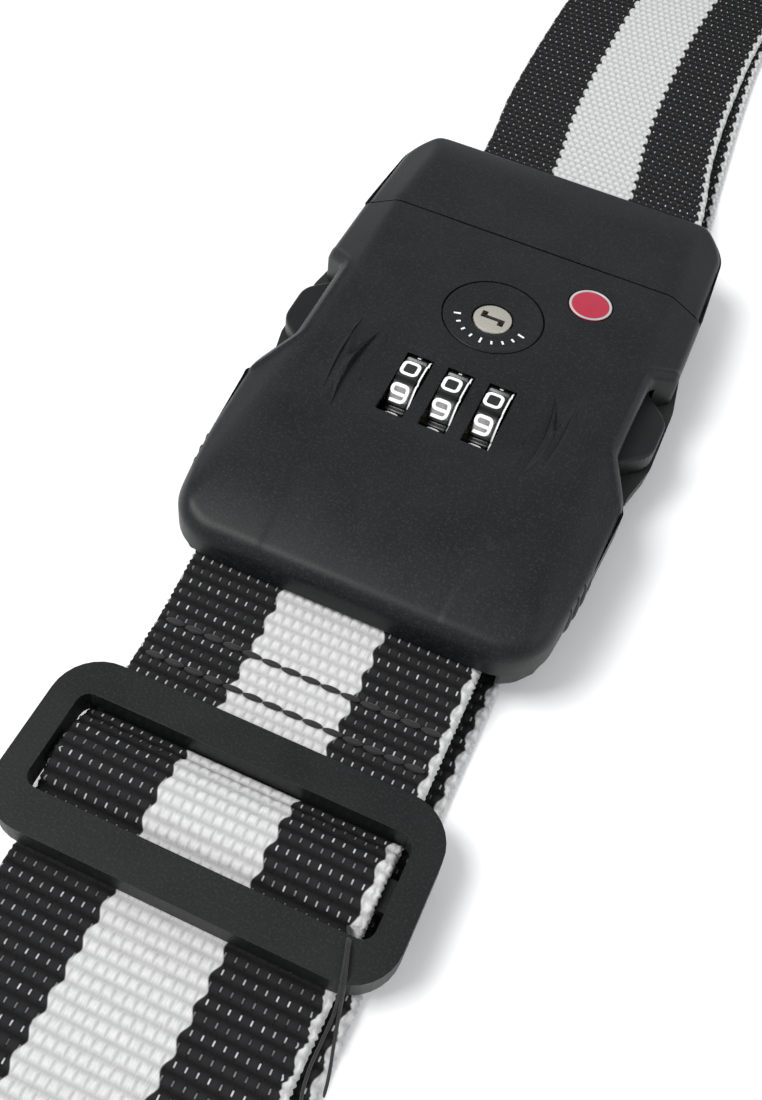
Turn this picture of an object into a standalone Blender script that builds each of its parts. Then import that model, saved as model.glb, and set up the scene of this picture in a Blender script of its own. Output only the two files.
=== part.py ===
"""Luggage strap with a three-dial, keyed side-release buckle, an adjusting slider and striped webbing.

The strap is closed and laid flat. X runs across the strap, +Y from the housing towards the plug head,
+Z up. The origin is on the floor under the middle of the buckle, on the webbing that runs beneath it.
"""
import math

import bmesh
import bpy
from mathutils import Matrix, Vector

MM = 0.001
GAP = 0.3                 # clearance between neighbouring pieces

# Webbing
WEB_WIDTH = 50.0
WEB_THICK = 1.6
RETURN_Z = 0.8            # mid height of the run that lies on the floor
LOWER_X = -1.5            # sideways place of each run of the flattened loop
RETURN_X = 1.7
UPPER_X = 1.0
NEAR_TURN_Y = -148.0
RETURN_END_Y = 70.0

# Buckle housing
HOUSING_HALF = 35.0
HOUSING_NEAR_Y = -55.2
PARTING_Y = 31.0
BOTTOM_Z = 2.0
SPLIT_Z = 10.0
PANEL_Z = 19.8
FLOOR_THICK = 1.5
WALL = 1.8

# Plug head
HEAD_FAR_Y = 57.0
HEAD_HALF = 34.0

# Dials, which lie nearer the far end of their windows
DIAL_Y = -10.2
DIAL_Z = 11.5
DIAL_RADIUS = 8.4
DIAL_WIDTH = 4.5
DIAL_PITCH = 7.76
DIGITS = 10
WINDOW = (5.1, 14.8)
WINDOW_Y = -13.4
SLEEVE_RADIUS = 5.0
SPINDLE_RADIUS = 1.4
SPINDLE_HALF = 19.2

# Key lock
KEY_Y = 9.3
KEY_PLUG_RADIUS = 3.65
BARREL_RADIUS = 5.8
SURROUND_RADIUS = 9.2
CAM_ARM = 4.0
LOCK_BAR_Z = (5.4, 7.0)

# Code-reset button, in the back shell
RESET_X = 24.0
RESET_Y = -30.0
RESET_RADIUS = 1.5

# Case screws, driven up through both shells
SCREW_PLACES = [(-28.4, -36.5), (28.4, -36.5), (-19.5, 24.0), (19.5, 24.0)]
SCREW_TOP = 13.8
PILLAR_RADIUS = 2.7

# Round inlay in the panel
INLAY_X = 15.0
INLAY_Y = 21.0
INLAY_RADIUS = 4.0

# Prongs
PRONG_PIVOT = (27.0, 34.0)
PRONG_Z = (10.2, 14.2)
PAD_OUT = 35.9
PAD_Y = (-8.2, 10.4)

# Outline of the cut-away over each thumb pad, as (x, y, radius)
SCOOP = [(46.0, -24.0, 0.5), (34.9, -19.0, 6.0), (30.2, -10.0, 4.0), (30.6, 10.4, 2.0), (35.4, 14.4, 1.0),
         (46.0, 15.0, 0.5)]

# Housing bar and head bar, round which the webbing is folded
HOUSING_BAR = (-46.0, 6.7, 1.3)
HEAD_BAR = (43.6, 10.0, 1.5)

# Slider
SLIDER_X = -1.65
SLIDER_Y = (-107.1, -78.3)
SLIDER_Z = (5.0, 9.6)
SLIDER_WIDTH = 62.7
SLIDER_OPENING = (53.7, -100.6, -84.3)
CENTRE_BAR = (-95.0, -90.0, 6.8)

# Rolled-up length of the strap
ROLL_Y = 213.0
ROLL_RADIUS = 27.0
ROLL_CORE = 6.0
ROLL_X = 1.3
TIE_WIDTH = 7.0
TIE_THICK = 0.9


def clear_scene():
    for obj in list(bpy.data.objects):
        bpy.data.objects.remove(obj, do_unlink=True)


def new_collection(name):
    collection = bpy.data.collections.new(name)
    bpy.context.scene.collection.children.link(collection)
    return collection


clear_scene()
PARTS = new_collection("luggage_strap")
CUTTERS = new_collection("cutters")


def material(name, colour, roughness, metallic=0.0):
    found = bpy.data.materials.get(name)
    if found:
        return found
    made = bpy.data.materials.new(name)
    made.use_nodes = True
    shader = made.node_tree.nodes["Principled BSDF"]
    shader.inputs["Base Color"].default_value = (*colour, 1.0)
    shader.inputs["Roughness"].default_value = roughness
    shader.inputs["Metallic"].default_value = metallic
    return made


def black_plastic():
    return material("black_plastic", (0.035, 0.037, 0.036), 0.55)


def olive_plastic():
    return material("back_shell_plastic", (0.07, 0.075, 0.065), 0.5)


def dial_plastic():
    return material("dial_plastic", (0.015, 0.015, 0.016), 0.35)


def nickel():
    return material("nickel", (0.72, 0.68, 0.6), 0.28, 1.0)


def brass():
    return material("brass", (0.72, 0.55, 0.28), 0.3, 1.0)


def steel():
    return material("steel", (0.55, 0.56, 0.58), 0.35, 1.0)


def red_enamel():
    return material("red_enamel", (0.55, 0.02, 0.05), 0.3)


def striped_webbing():
    return material("striped_webbing", (0.3, 0.3, 0.3), 0.85)


def tie_elastic():
    return material("tie_elastic", (0.02, 0.02, 0.02), 0.8)


def object_from_bmesh(name, mesh_data, look, collection=None, origin=(0.0, 0.0, 0.0)):
    """Make an object in metres from a bmesh in millimetres, with its origin at the given point."""
    shift = Matrix.Translation(Vector(origin) * -1.0)
    bmesh.ops.transform(mesh_data, matrix=Matrix.Scale(MM, 4) @ shift, verts=mesh_data.verts)
    bmesh.ops.recalc_face_normals(mesh_data, faces=mesh_data.faces)
    mesh = bpy.data.meshes.new(name)
    mesh_data.to_mesh(mesh)
    mesh_data.free()
    obj = bpy.data.objects.new(name, mesh)
    obj.location = Vector(origin) * MM
    (collection or PARTS).objects.link(obj)
    if look:
        mesh.materials.append(look())
    if collection is CUTTERS:
        obj.hide_render = True
        obj.display_type = "WIRE"
    return obj


def smooth(obj, angle=35.0):
    obj.data.shade_smooth()
    obj.data.set_sharp_from_angle(angle=math.radians(angle))
    return obj


def box(name, low, high, look=None, collection=None, origin=(0.0, 0.0, 0.0)):
    mesh_data = bmesh.new()
    bmesh.ops.create_cube(mesh_data, size=1.0)
    size = [high[k] - low[k] for k in range(3)]
    middle = [(high[k] + low[k]) / 2 for k in range(3)]
    bmesh.ops.scale(mesh_data, vec=size, verts=mesh_data.verts)
    bmesh.ops.translate(mesh_data, vec=middle, verts=mesh_data.verts)
    return object_from_bmesh(name, mesh_data, look, collection, origin)


def cylinder(name, centre, radius, length, axis="Z", segments=32, look=None, collection=None, origin=None,
             top_radius=None):
    mesh_data = bmesh.new()
    bmesh.ops.create_cone(mesh_data, cap_ends=True, segments=segments, radius1=radius,
                          radius2=radius if top_radius is None else top_radius, depth=length)
    turn = {"Z": Matrix.Identity(4), "X": Matrix.Rotation(math.radians(90), 4, "Y"),
            "Y": Matrix.Rotation(math.radians(-90), 4, "X")}[axis]
    bmesh.ops.transform(mesh_data, matrix=Matrix.Translation(centre) @ turn, verts=mesh_data.verts)
    return object_from_bmesh(name, mesh_data, look, collection, origin or (0.0, 0.0, 0.0))


def rounded_loop(corners, segments=5):
    """Points of a closed outline, anticlockwise, from corners given as (x, y, radius)."""
    loop = []
    count = len(corners)
    for k, (x, y, radius) in enumerate(corners):
        here = Vector((x, y))
        before = (Vector(corners[k - 1][:2]) - here).normalized()
        after = (Vector(corners[(k + 1) % count][:2]) - here).normalized()
        half = before.angle(after) / 2
        reach = radius / math.tan(half)
        centre = here + (before + after).normalized() * (radius / math.sin(half))
        start = here + before * reach - centre
        end = here + after * reach - centre
        sweep = start.angle_signed(end)
        for step in range(segments + 1):
            turned = start.copy()
            turned.rotate(Matrix.Rotation(-sweep * step / segments, 2))
            loop.append(centre + turned)
    return loop


def mirrored(right_side):
    """Close an outline from its right-hand corners, which run from the near end to the far end."""
    return right_side + [(-x, y, radius) for x, y, radius in reversed(right_side)]


def loft(name, sections, look=None, collection=None, origin=(0.0, 0.0, 0.0)):
    """A solid through outlines of equal point counts, given as (z, points) from the bottom up."""
    mesh_data = bmesh.new()
    rings = [[mesh_data.verts.new((p.x, p.y, z)) for p in points] for z, points in sections]
    count = len(rings[0])
    for lower, upper in zip(rings, rings[1:]):
        for k in range(count):
            after = (k + 1) % count
            mesh_data.faces.new((lower[k], lower[after], upper[after], upper[k]))
    mesh_data.faces.new(rings[0][::-1])
    mesh_data.faces.new(rings[-1])
    return object_from_bmesh(name, mesh_data, look, collection, origin)


def moved_verts(extruded):
    """The vertices that an extrude operator has just made."""
    return [item for item in extruded["geom"] if isinstance(item, bmesh.types.BMVert)]


def prism(name, corners, low, high, segments=5, look=None, collection=None, origin=(0.0, 0.0, 0.0)):
    """A plate with a rounded outline, extruded from low to high."""
    mesh_data = bmesh.new()
    face = mesh_data.faces.new([mesh_data.verts.new((p.x, p.y, low)) for p in rounded_loop(corners, segments)])
    raised = bmesh.ops.extrude_face_region(mesh_data, geom=[face])
    bmesh.ops.translate(mesh_data, vec=(0.0, 0.0, high - low), verts=moved_verts(raised))
    return object_from_bmesh(name, mesh_data, look, collection, origin)


def smooth_path(points, steps=6):
    """A smooth curve through (x, y, z) points, as Catmull-Rom spans."""
    padded = [points[0]] + points + [points[-1]]
    path = []
    for k in range(1, len(padded) - 2):
        a, b, c, d = (Vector(padded[k + n]) for n in (-1, 0, 1, 2))
        for step in range(steps):
            t = step / steps
            path.append(0.5 * (2 * b + (c - a) * t + (2 * a - 5 * b + 4 * c - d) * t * t
                               + (3 * b - a - 3 * c + d) * t ** 3))
    path.append(Vector(points[-1]))
    return path


def ribbon(name, path, origin=(0.0, 0.0, 0.0)):
    """Webbing across X: an edge swept along a path of points, then thickened."""
    mesh_data = bmesh.new()
    half = Vector((WEB_WIDTH / 2, 0.0, 0.0))
    front = [mesh_data.verts.new(path[0] - half), mesh_data.verts.new(path[0] + half)]
    edge = mesh_data.edges.new(front)
    for here, after in zip(path, path[1:]):
        swept = bmesh.ops.extrude_edge_only(mesh_data, edges=[edge])
        front = moved_verts(swept)
        edge = mesh_data.edges.get(front)
        bmesh.ops.translate(mesh_data, vec=after - here, verts=front)
    strip = smooth(object_from_bmesh(name, mesh_data, striped_webbing, None, origin))
    modifier = strip.modifiers.new("thickness", "SOLIDIFY")
    modifier.thickness = WEB_THICK * MM
    modifier.offset = 0.0
    modifier.use_even_offset = True
    return strip


def boolean(target, tool, operation):
    modifier = target.modifiers.new(tool.name, "BOOLEAN")
    modifier.object = tool
    modifier.operation = operation
    modifier.solver = "EXACT"
    tool.hide_render = True
    tool.display_type = "WIRE"
    return target


def cut(target, *tools):
    for tool in tools:
        boolean(target, tool, "DIFFERENCE")


def join(target, *tools):
    for tool in tools:
        boolean(target, tool, "UNION")


def soften(obj, width, segments=2):
    modifier = obj.modifiers.new("edges", "BEVEL")
    modifier.width = width * MM
    modifier.segments = segments
    modifier.limit_method = "ANGLE"
    modifier.angle_limit = math.radians(40)


def cutter_box(name, low, high):
    return box(name, low, high, collection=CUTTERS)


def cutter_cylinder(name, centre, radius, length, axis="Z", segments=32, top_radius=None):
    return cylinder(name, centre, radius, length, axis, segments, collection=CUTTERS, top_radius=top_radius)


def dial_places():
    return [DIAL_PITCH * k for k in (-1, 0, 1)]


# ---- Buckle housing ----

def housing_outline(inset=0.0, near_inset=0.0):
    half = HOUSING_HALF - inset
    near = HOUSING_NEAR_Y + near_inset
    return rounded_loop(mirrored([
        (half - 3.4, near, 9.0 - min(inset, 2.0)),
        (half - 1.1, -34.0, 25.0),
        (half, -8.0, 25.0),
        (half, PARTING_Y - GAP / 2, 0.4)]))


def window_cutter(name, x):
    half_x = WINDOW[0] / 2
    half_y = WINDOW[1] / 2
    return cutter_box(name, (x - half_x, WINDOW_Y - half_y, SPLIT_Z), (x + half_x, WINDOW_Y + half_y, PANEL_Z + 2))


def wheel_relief_cutter(name, x):
    return cutter_cylinder(name, (x, DIAL_Y, DIAL_Z), DIAL_RADIUS + GAP, WINDOW[0], "X", 64)


def wheel_slot_cutter(name, x):
    half_x = WINDOW[0] / 2
    half_y = 8.2
    return cutter_box(name, (x - half_x, DIAL_Y - half_y, BOTTOM_Z - 1), (x + half_x, DIAL_Y + half_y, SPLIT_Z))


def scoop_cutters(low, high):
    left = [(-x, y, radius) for x, y, radius in SCOOP]
    return [prism(f"scoop_{side}", corners, low, high, 6, collection=CUTTERS)
            for side, corners in (("left", left), ("right", SCOOP[::-1]))]


def mouth_cutter(name, y_low, y_high):
    """The opening on the parting face for the prongs and the tongue."""
    return cutter_box(name, (-31.0, y_low, 9.4), (31.0, y_high, 14.8))


def make_front_cover():
    levels = [(SPLIT_Z + GAP / 2, 0.4, 0.7), (11.2, 0.0, 0.0), (15.2, 0.0, 0.7), (16.2, 0.5, 1.6),
              (19.2, 6.4, 6.0), (PANEL_Z, 7.4, 8.5)]
    cover = loft("front_cover", [(z, housing_outline(side, near)) for z, side, near in levels], black_plastic)
    cut(cover,
        cutter_box("cover_room_low", (-31.6, -43.0, 9.0), (31.6, PARTING_Y - 3.0, 14.8)),
        cutter_box("cover_room_high", (-22.0, -27.0, 14.0), (22.0, 27.0, 18.0)),
        mouth_cutter("cover_mouth", PARTING_Y - 5, PARTING_Y + 2),
        cutter_box("cover_web_room", (-30.0, -51.0, 9.0), (30.0, -42.0, 11.4)),
        cutter_cylinder("thumb_channel", (0.0, WINDOW_Y, PANEL_Z - 0.8 + 60.0), 60.0, 40.0, "X", 128),
        *[window_cutter(f"window_{k}", x) for k, x in enumerate(dial_places(), 1)],
        *[wheel_relief_cutter(f"wheel_relief_{k}", x) for k, x in enumerate(dial_places(), 1)],
        cutter_cylinder("key_dish", (0.0, KEY_Y, PANEL_Z + 3.9), SURROUND_RADIUS + GAP, 10.0, "Z", 48),
        cutter_cylinder("barrel_hole", (0.0, KEY_Y, PANEL_Z), BARREL_RADIUS + GAP, 12.0, "Z", 40),
        cutter_cylinder("inlay_recess", (INLAY_X, INLAY_Y, PANEL_Z + 4.3), INLAY_RADIUS + GAP, 10.0, "Z", 40),
        *[cutter_box(f"pad_window_{side}", (sign * 35.0 - 5.0, PAD_Y[0] - 0.6, 9.0),
                     (sign * 35.0 + 5.0, PAD_Y[1] + 0.6, 14.8)) for side, sign in (("left", -1), ("right", 1))],
        *scoop_cutters(9.0, 22.0))
    for k, (x, y) in enumerate(SCREW_PLACES, 1):
        join(cover, cutter_cylinder(f"cover_pillar_{k}", (x, y, 13.6), PILLAR_RADIUS, 6.9, "Z", 24))
    for k, (x, y) in enumerate(SCREW_PLACES, 1):
        cut(cover, cutter_cylinder(f"cover_screw_hole_{k}", (x, y, 11.5), 1.3, 6.0, "Z", 16))
    smooth(cover, 25.0)


def back_outline(inset):
    half = HOUSING_HALF - inset
    near = HOUSING_NEAR_Y + 0.9 + inset
    return rounded_loop(mirrored([
        (half - 3.6, near, 8.5),
        (half - 1.2, -30.0, 20.0),
        (half - 0.6, -11.0, 3.0),
        (half + 1.2, -3.0, 6.0),
        (half + 1.3, 12.0, 6.0),
        (half, 21.5, 3.0),
        (half, PARTING_Y - GAP / 2, 0.4)]), 4)


def rib_cutters():
    """Shallow grip notches on both sides of the back shell, near its corners."""
    notches = []
    for side in (-1, 1):
        for k in range(8):
            y = -40.5 + 1.75 * k
            x = side * (HOUSING_HALF - 0.35 + 0.055 * (y + 26.0))
            notches.append(cutter_cylinder(f"grip_{side}_{k}", (x, y, 8.2), 0.55, 5.0, "Z", 10))
    return notches


def make_back_cover():
    levels = [(BOTTOM_Z, back_outline(2.6)), (BOTTOM_Z + 1.4, back_outline(1.2)), (6.0, back_outline(0.3)),
              (SPLIT_Z - GAP / 2, back_outline(0.0))]
    cover = loft("back_cover", levels, olive_plastic)
    inside = BOTTOM_Z + FLOOR_THICK
    cut(cover,
        cutter_box("back_room", (-30.6, -43.0, inside), (30.6, PARTING_Y - 3.0, 12.0)),
        mouth_cutter("back_mouth", PARTING_Y - 5, PARTING_Y + 2),
        cutter_box("back_web_room", (-29.0, -51.0, inside - 0.5), (29.0, -42.0, 12.0)),
        cutter_box("web_slot", (-28.6, -60.0, inside - 0.4), (26.0, -50.0, 12.0)),
        *[wheel_slot_cutter(f"wheel_slot_{k}", x) for k, x in enumerate(dial_places(), 1)])
    for side, x in (("left", -17.6), ("right", 17.6)):
        join(cover, cutter_box(f"spindle_post_{side}", (x - 1.6, DIAL_Y - 3.0, inside - 0.5),
                               (x + 1.6, DIAL_Y + 3.0, DIAL_Z + 2.8)))
    for k, (x, y) in enumerate(SCREW_PLACES, 1):
        join(cover, cutter_cylinder(f"back_pillar_{k}", (x, y, 6.425), PILLAR_RADIUS, 6.85, "Z", 24))
    cut(cover, cutter_cylinder("spindle_bore", (0.0, DIAL_Y, DIAL_Z), SPINDLE_RADIUS + GAP,
                               2 * SPINDLE_HALF + 0.8, "X", 24))
    for k, (x, y) in enumerate(SCREW_PLACES, 1):
        cut(cover, cutter_cylinder(f"back_screw_hole_{k}", (x, y, 6.0), 1.3, 12.0, "Z", 16),
            cutter_cylinder(f"back_screw_sink_{k}", (x, y, BOTTOM_Z + 0.2), 2.4, 3.0, "Z", 24))
    cut(cover, cutter_cylinder("button_hole", (RESET_X, RESET_Y, BOTTOM_Z), RESET_RADIUS + GAP, 5.0, "Z", 20),
        cutter_cylinder("housing_bar_hole", (0.0, *HOUSING_BAR[:2]), HOUSING_BAR[2] + GAP, 62.0, "X", 20),
        *rib_cutters())
    smooth(cover, 25.0)


def make_case_fittings():
    smooth(cylinder("housing_strap_bar", (0.0, *HOUSING_BAR[:2]), HOUSING_BAR[2], 61.0, "X", 20, steel))
    for k, (x, y) in enumerate(SCREW_PLACES, 1):
        screw(f"case_screw_{k}", x, y, BOTTOM_Z + 0.1, SCREW_TOP)
    inlay = cylinder("indicator_inlay", (INLAY_X, INLAY_Y, PANEL_Z - 0.1), INLAY_RADIUS, 0.6, "Z", 40, red_enamel)
    soften(inlay, 0.15, 1)
    smooth(inlay)


def screw(name, x, y, low, high):
    """A pan-head screw driven upwards, with a cross recess in its head."""
    body = cylinder(name, (x, y, low + 0.6), 2.0, 1.2, "Z", 24, steel)
    join(body, cutter_cylinder(name + "_shank", (x, y, (low + high) / 2 + 0.4), 1.0, high - low - 0.8, "Z", 16))
    cut(body, cutter_box(name + "_cross_a", (x - 1.2, y - 0.25, low - 1), (x + 1.2, y + 0.25, low + 0.6)),
        cutter_box(name + "_cross_b", (x - 0.25, y - 1.2, low - 1), (x + 0.25, y + 1.2, low + 0.6)))
    smooth(body)


# ---- Dials ----

def make_dial(number, x):
    origin = (x, DIAL_Y, DIAL_Z)
    wheel = cylinder(f"dial_wheel_{number}", origin, DIAL_RADIUS, DIAL_WIDTH, "X", 60, dial_plastic,
                     origin=origin)
    cut(wheel, cutter_cylinder(f"wheel_bore_{number}", origin, SPINDLE_RADIUS + GAP, 10.0, "X", 24))
    reach = DIAL_RADIUS + 0.35
    for k in range(DIGITS):
        turn = math.tau * (k + 0.5) / DIGITS
        groove = (x, DIAL_Y + reach * math.sin(turn), DIAL_Z + reach * math.cos(turn))
        cut(wheel, cutter_cylinder(f"wheel_groove_{number}_{k}", groove, 0.7, 10.0, "X", 8))
    smooth(wheel)
    middle = (x + DIAL_WIDTH / 2 + 0.25 + 1.35, DIAL_Y, DIAL_Z)
    sleeve = cylinder(f"cam_sleeve_{number}", middle, SLEEVE_RADIUS, 2.5, "X", 32, brass, origin=origin)
    cut(sleeve, cutter_cylinder(f"sleeve_bore_{number}", middle, SPINDLE_RADIUS + GAP, 10.0, "X", 24),
        cutter_box(f"sleeve_notch_{number}", (middle[0] - 3, DIAL_Y + 2.6, DIAL_Z - 1.0),
                   (middle[0] + 3, DIAL_Y + 7.0, DIAL_Z + 1.0)))
    smooth(sleeve)


def make_spindle():
    smooth(cylinder("dial_spindle", (0.0, DIAL_Y, DIAL_Z), SPINDLE_RADIUS, 2 * SPINDLE_HALF, "X", 24, steel))


def make_click_spring():
    back_y = DIAL_Y - DIAL_RADIUS - 3.6
    plate = box("click_spring", (-11.0, back_y - 0.2, BOTTOM_Z + FLOOR_THICK + GAP), (11.0, back_y + 0.2, 7.0), steel)
    for k, x in enumerate(dial_places(), 1):
        join(plate, cutter_box(f"click_finger_{k}", (x - 1.5, back_y - 0.15, 6.0), (x + 1.5, back_y + 0.15, 14.0)),
             cutter_cylinder(f"click_nose_{k}", (x, back_y + 1.3, 12.6), 1.4, 2.8, "X", 20))


# ---- Key lock ----

def make_key_lock():
    surround = cylinder("key_surround", (0.0, KEY_Y, PANEL_Z - 0.5), SURROUND_RADIUS, 0.8, "Z", 48, black_plastic)
    cut(surround, cutter_cylinder("surround_hole", (0.0, KEY_Y, PANEL_Z), KEY_PLUG_RADIUS + GAP, 6.0, "Z", 40),
        cutter_cylinder("surround_dish", (0.0, KEY_Y, PANEL_Z + 0.7), 7.0, 2.0, "Z", 48, top_radius=10.0))
    smooth(surround)
    top = PANEL_Z - 1.2
    barrel = cylinder("key_barrel", (0.0, KEY_Y, (10.4 + top) / 2), BARREL_RADIUS, top - 10.4, "Z", 40, brass)
    cut(barrel, cutter_cylinder("barrel_bore", (0.0, KEY_Y, 15.0), KEY_PLUG_RADIUS + GAP, 20.0, "Z", 40))
    smooth(barrel)
    origin = (0.0, KEY_Y, 9.8)
    plug = cylinder("key_plug", (0.0, KEY_Y, (9.8 + PANEL_Z - 0.5) / 2), KEY_PLUG_RADIUS, PANEL_Z - 0.5 - 9.8,
                    "Z", 40, nickel, origin=origin)
    cut(plug, cutter_box("keyway_middle", (-1.9, KEY_Y - 0.45, 14.0), (1.9, KEY_Y + 0.45, 25.0)),
        cutter_box("keyway_upper", (-2.1, KEY_Y, 14.0), (-1.1, KEY_Y + 1.2, 25.0)),
        cutter_box("keyway_lower", (1.1, KEY_Y - 1.2, 14.0), (2.1, KEY_Y, 25.0)))
    smooth(plug)
    cam = cylinder("key_cam", (0.0, KEY_Y, 8.5), 3.0, 1.6, "Z", 32, brass, origin=origin)
    join(cam, cutter_cylinder("cam_pin", (-CAM_ARM, KEY_Y, 7.3), 0.8, 4.0, "Z", 16),
         cutter_box("cam_web", (-CAM_ARM, KEY_Y - 0.7, 7.75), (0.0, KEY_Y + 0.7, 9.25)))
    smooth(cam)


def make_lock_bar():
    low, high = LOCK_BAR_Z
    bar = box("lock_bar", (-9.0, 3.0, low), (9.0, KEY_Y + 5.5, high), steel)
    cut(bar, cutter_box("lock_bar_slot", (-5.6, KEY_Y - 2.1, 4.0), (1.6, KEY_Y + 2.1, 9.0)))
    for k, x in enumerate(dial_places(), 1):
        middle = x + DIAL_WIDTH / 2 + 1.6
        finger = ((middle - 1.2, DIAL_Y + 3.8, low + 0.1), (middle + 1.2, 5.2, high - 0.1))
        join(bar, cutter_box(f"lock_finger_{k}", *finger))
    for side, sign in (("left", -1), ("right", 1)):
        inner, outer = sorted((sign * 8.0, sign * 21.5))
        join(bar, cutter_box(f"lock_arm_{side}", (inner, 4.0, low + 0.1), (outer, 8.0, high - 0.1)))
        inner, outer = sorted((sign * 19.5, sign * 21.5))
        join(bar, cutter_box(f"lock_lug_{side}", (inner, 4.4, low + 0.5), (outer - 0.2, 7.6, 12.5)))


def make_lock_bar_spring():
    turns = 5
    start = KEY_Y + 5.5 + 0.6
    length = 10.5
    count = turns * 12
    curve = bpy.data.curves.new("lock_bar_spring", "CURVE")
    curve.dimensions = "3D"
    curve.bevel_depth = 0.3 * MM
    curve.bevel_resolution = 1
    curve.use_fill_caps = True
    spline = curve.splines.new("POLY")
    spline.points.add(count)
    for k in range(count + 1):
        turn = math.tau * turns * k / count
        y = start + length * k / count
        spline.points[k].co = (1.6 * math.cos(turn) * MM, y * MM, (6.2 + 1.6 * math.sin(turn)) * MM, 1.0)
    spring = bpy.data.objects.new("lock_bar_spring", curve)
    curve.materials.append(steel())
    PARTS.objects.link(spring)


def make_reset_button():
    origin = (RESET_X, RESET_Y, BOTTOM_Z + 0.3)
    button = cylinder("reset_button", (RESET_X, RESET_Y, BOTTOM_Z + 1.8), RESET_RADIUS, 3.0, "Z", 20, nickel,
                      origin=origin)
    join(button, cutter_cylinder("button_flange", (RESET_X, RESET_Y, BOTTOM_Z + 2.8), 2.6, 1.0, "Z", 24))
    smooth(button)


# ---- Plug head ----

def head_outline(inset=0.0, far_inset=0.0):
    half = HEAD_HALF - inset
    far = HEAD_FAR_Y - far_inset
    near = PARTING_Y + GAP / 2
    return rounded_loop(mirrored([(half + 1.0, near, 0.4), (half, far, 8.0 - min(inset, 1.5))]), 8)


def head_cavity(name, low, high):
    return cutter_box(name, (-30.0, PARTING_Y + 2.0, low), (30.0, 50.0, high))


def web_exit(name):
    return cutter_box(name, (UPPER_X - 26.0, 45.0, 7.6), (UPPER_X + 26.0, 62.0, 13.0))


def make_head():
    levels = [(SPLIT_Z + GAP / 2, 0.4, 0.5), (11.2, 0.0, 0.0), (15.4, 0.0, 0.1), (16.4, 0.5, 0.3),
              (18.4, 3.9, 1.0), (19.2, 5.2, 2.0), (PANEL_Z, 6.4, 4.2)]
    front = loft("head_front_cover", [(z, head_outline(side, far)) for z, side, far in levels], black_plastic)
    cut(front, head_cavity("head_room_front", 9.0, 17.8), mouth_cutter("head_mouth_front", 29.0, 38.0),
        web_exit("web_exit_front"))
    levels = [(BOTTOM_Z, 2.8, 2.8), (BOTTOM_Z + 1.4, 1.2, 1.2), (6.0, 0.3, 0.3), (SPLIT_Z - GAP / 2, 0.2, 0.2)]
    back = loft("head_back_cover", [(z, head_outline(side, far)) for z, side, far in levels], olive_plastic)
    cut(back, head_cavity("head_room_back", 4.0, 12.0), mouth_cutter("head_mouth_back", 29.0, 38.0),
        web_exit("web_exit_back"))
    for k, x in enumerate((-19.0, 19.0), 1):
        y = 36.4
        join(front, cutter_cylinder(f"head_pillar_front_{k}", (x, y, 14.3), 2.4, 8.3, "Z", 24))
        join(back, cutter_cylinder(f"head_pillar_back_{k}", (x, y, 6.425), 2.4, 6.85, "Z", 24))
        cut(front, cutter_cylinder(f"head_hole_front_{k}", (x, y, 11.5), 1.3, 6.0, "Z", 16))
        cut(back, cutter_cylinder(f"head_hole_back_{k}", (x, y, 6.0), 1.3, 12.0, "Z", 16),
            cutter_cylinder(f"head_sink_{k}", (x, y, BOTTOM_Z + 0.2), 2.4, 3.0, "Z", 24))
        screw(f"head_screw_{k}", x, y, BOTTOM_Z + 0.1, SCREW_TOP)
    for cover in (front, back):
        cut(cover, cutter_cylinder(cover.name + "_bar_hole", (0.0, *HEAD_BAR[:2]), HEAD_BAR[2] + GAP, 66.0, "X", 20))
        smooth(cover, 25.0)
    smooth(cylinder("head_strap_bar", (0.0, *HEAD_BAR[:2]), HEAD_BAR[2], 64.0, "X", 20, steel))


def make_tongue():
    tongue = prism("plug_tongue", [(-13.0, 17.6, 2.0), (13.0, 17.6, 2.0), (13.0, 36.0, 1.0), (-13.0, 36.0, 1.0)],
                   10.6, 13.2, 4, black_plastic)
    cut(tongue, prism("tongue_window", [(-8.0, 20.6, 1.5), (8.0, 20.6, 1.5), (8.0, 28.0, 1.5), (-8.0, 28.0, 1.5)],
                      9.0, 15.0, 3, collection=CUTTERS))
    soften(tongue, 0.4, 1)


def make_prong(side, sign):
    """A sprung arm with the D-shaped thumb pad on its free end."""
    pivot_x, pivot_y = PRONG_PIVOT
    low, high = PRONG_Z
    near, far = PAD_Y
    outline = [(24.6, 37.2, 0.8), (25.8, 18.0, 6.0), (26.4, near + 1.2, 1.2), (30.6, near, 1.5),
               (PAD_OUT - 0.2, near + 4.6, 5.0), (PAD_OUT, far - 5.0, 5.0), (31.0, far, 1.5), (29.6, 17.8, 0.8),
               (29.8, 37.2, 0.8)]
    corners = [(sign * x, y, radius) for x, y, radius in (outline if sign > 0 else outline[::-1])]
    prong = prism(f"prong_{side}", corners, low, high, 4, black_plastic, origin=(sign * pivot_x, pivot_y, low))
    soften(prong, 0.5)
    smooth(prong)


# ---- Slider ----

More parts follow.
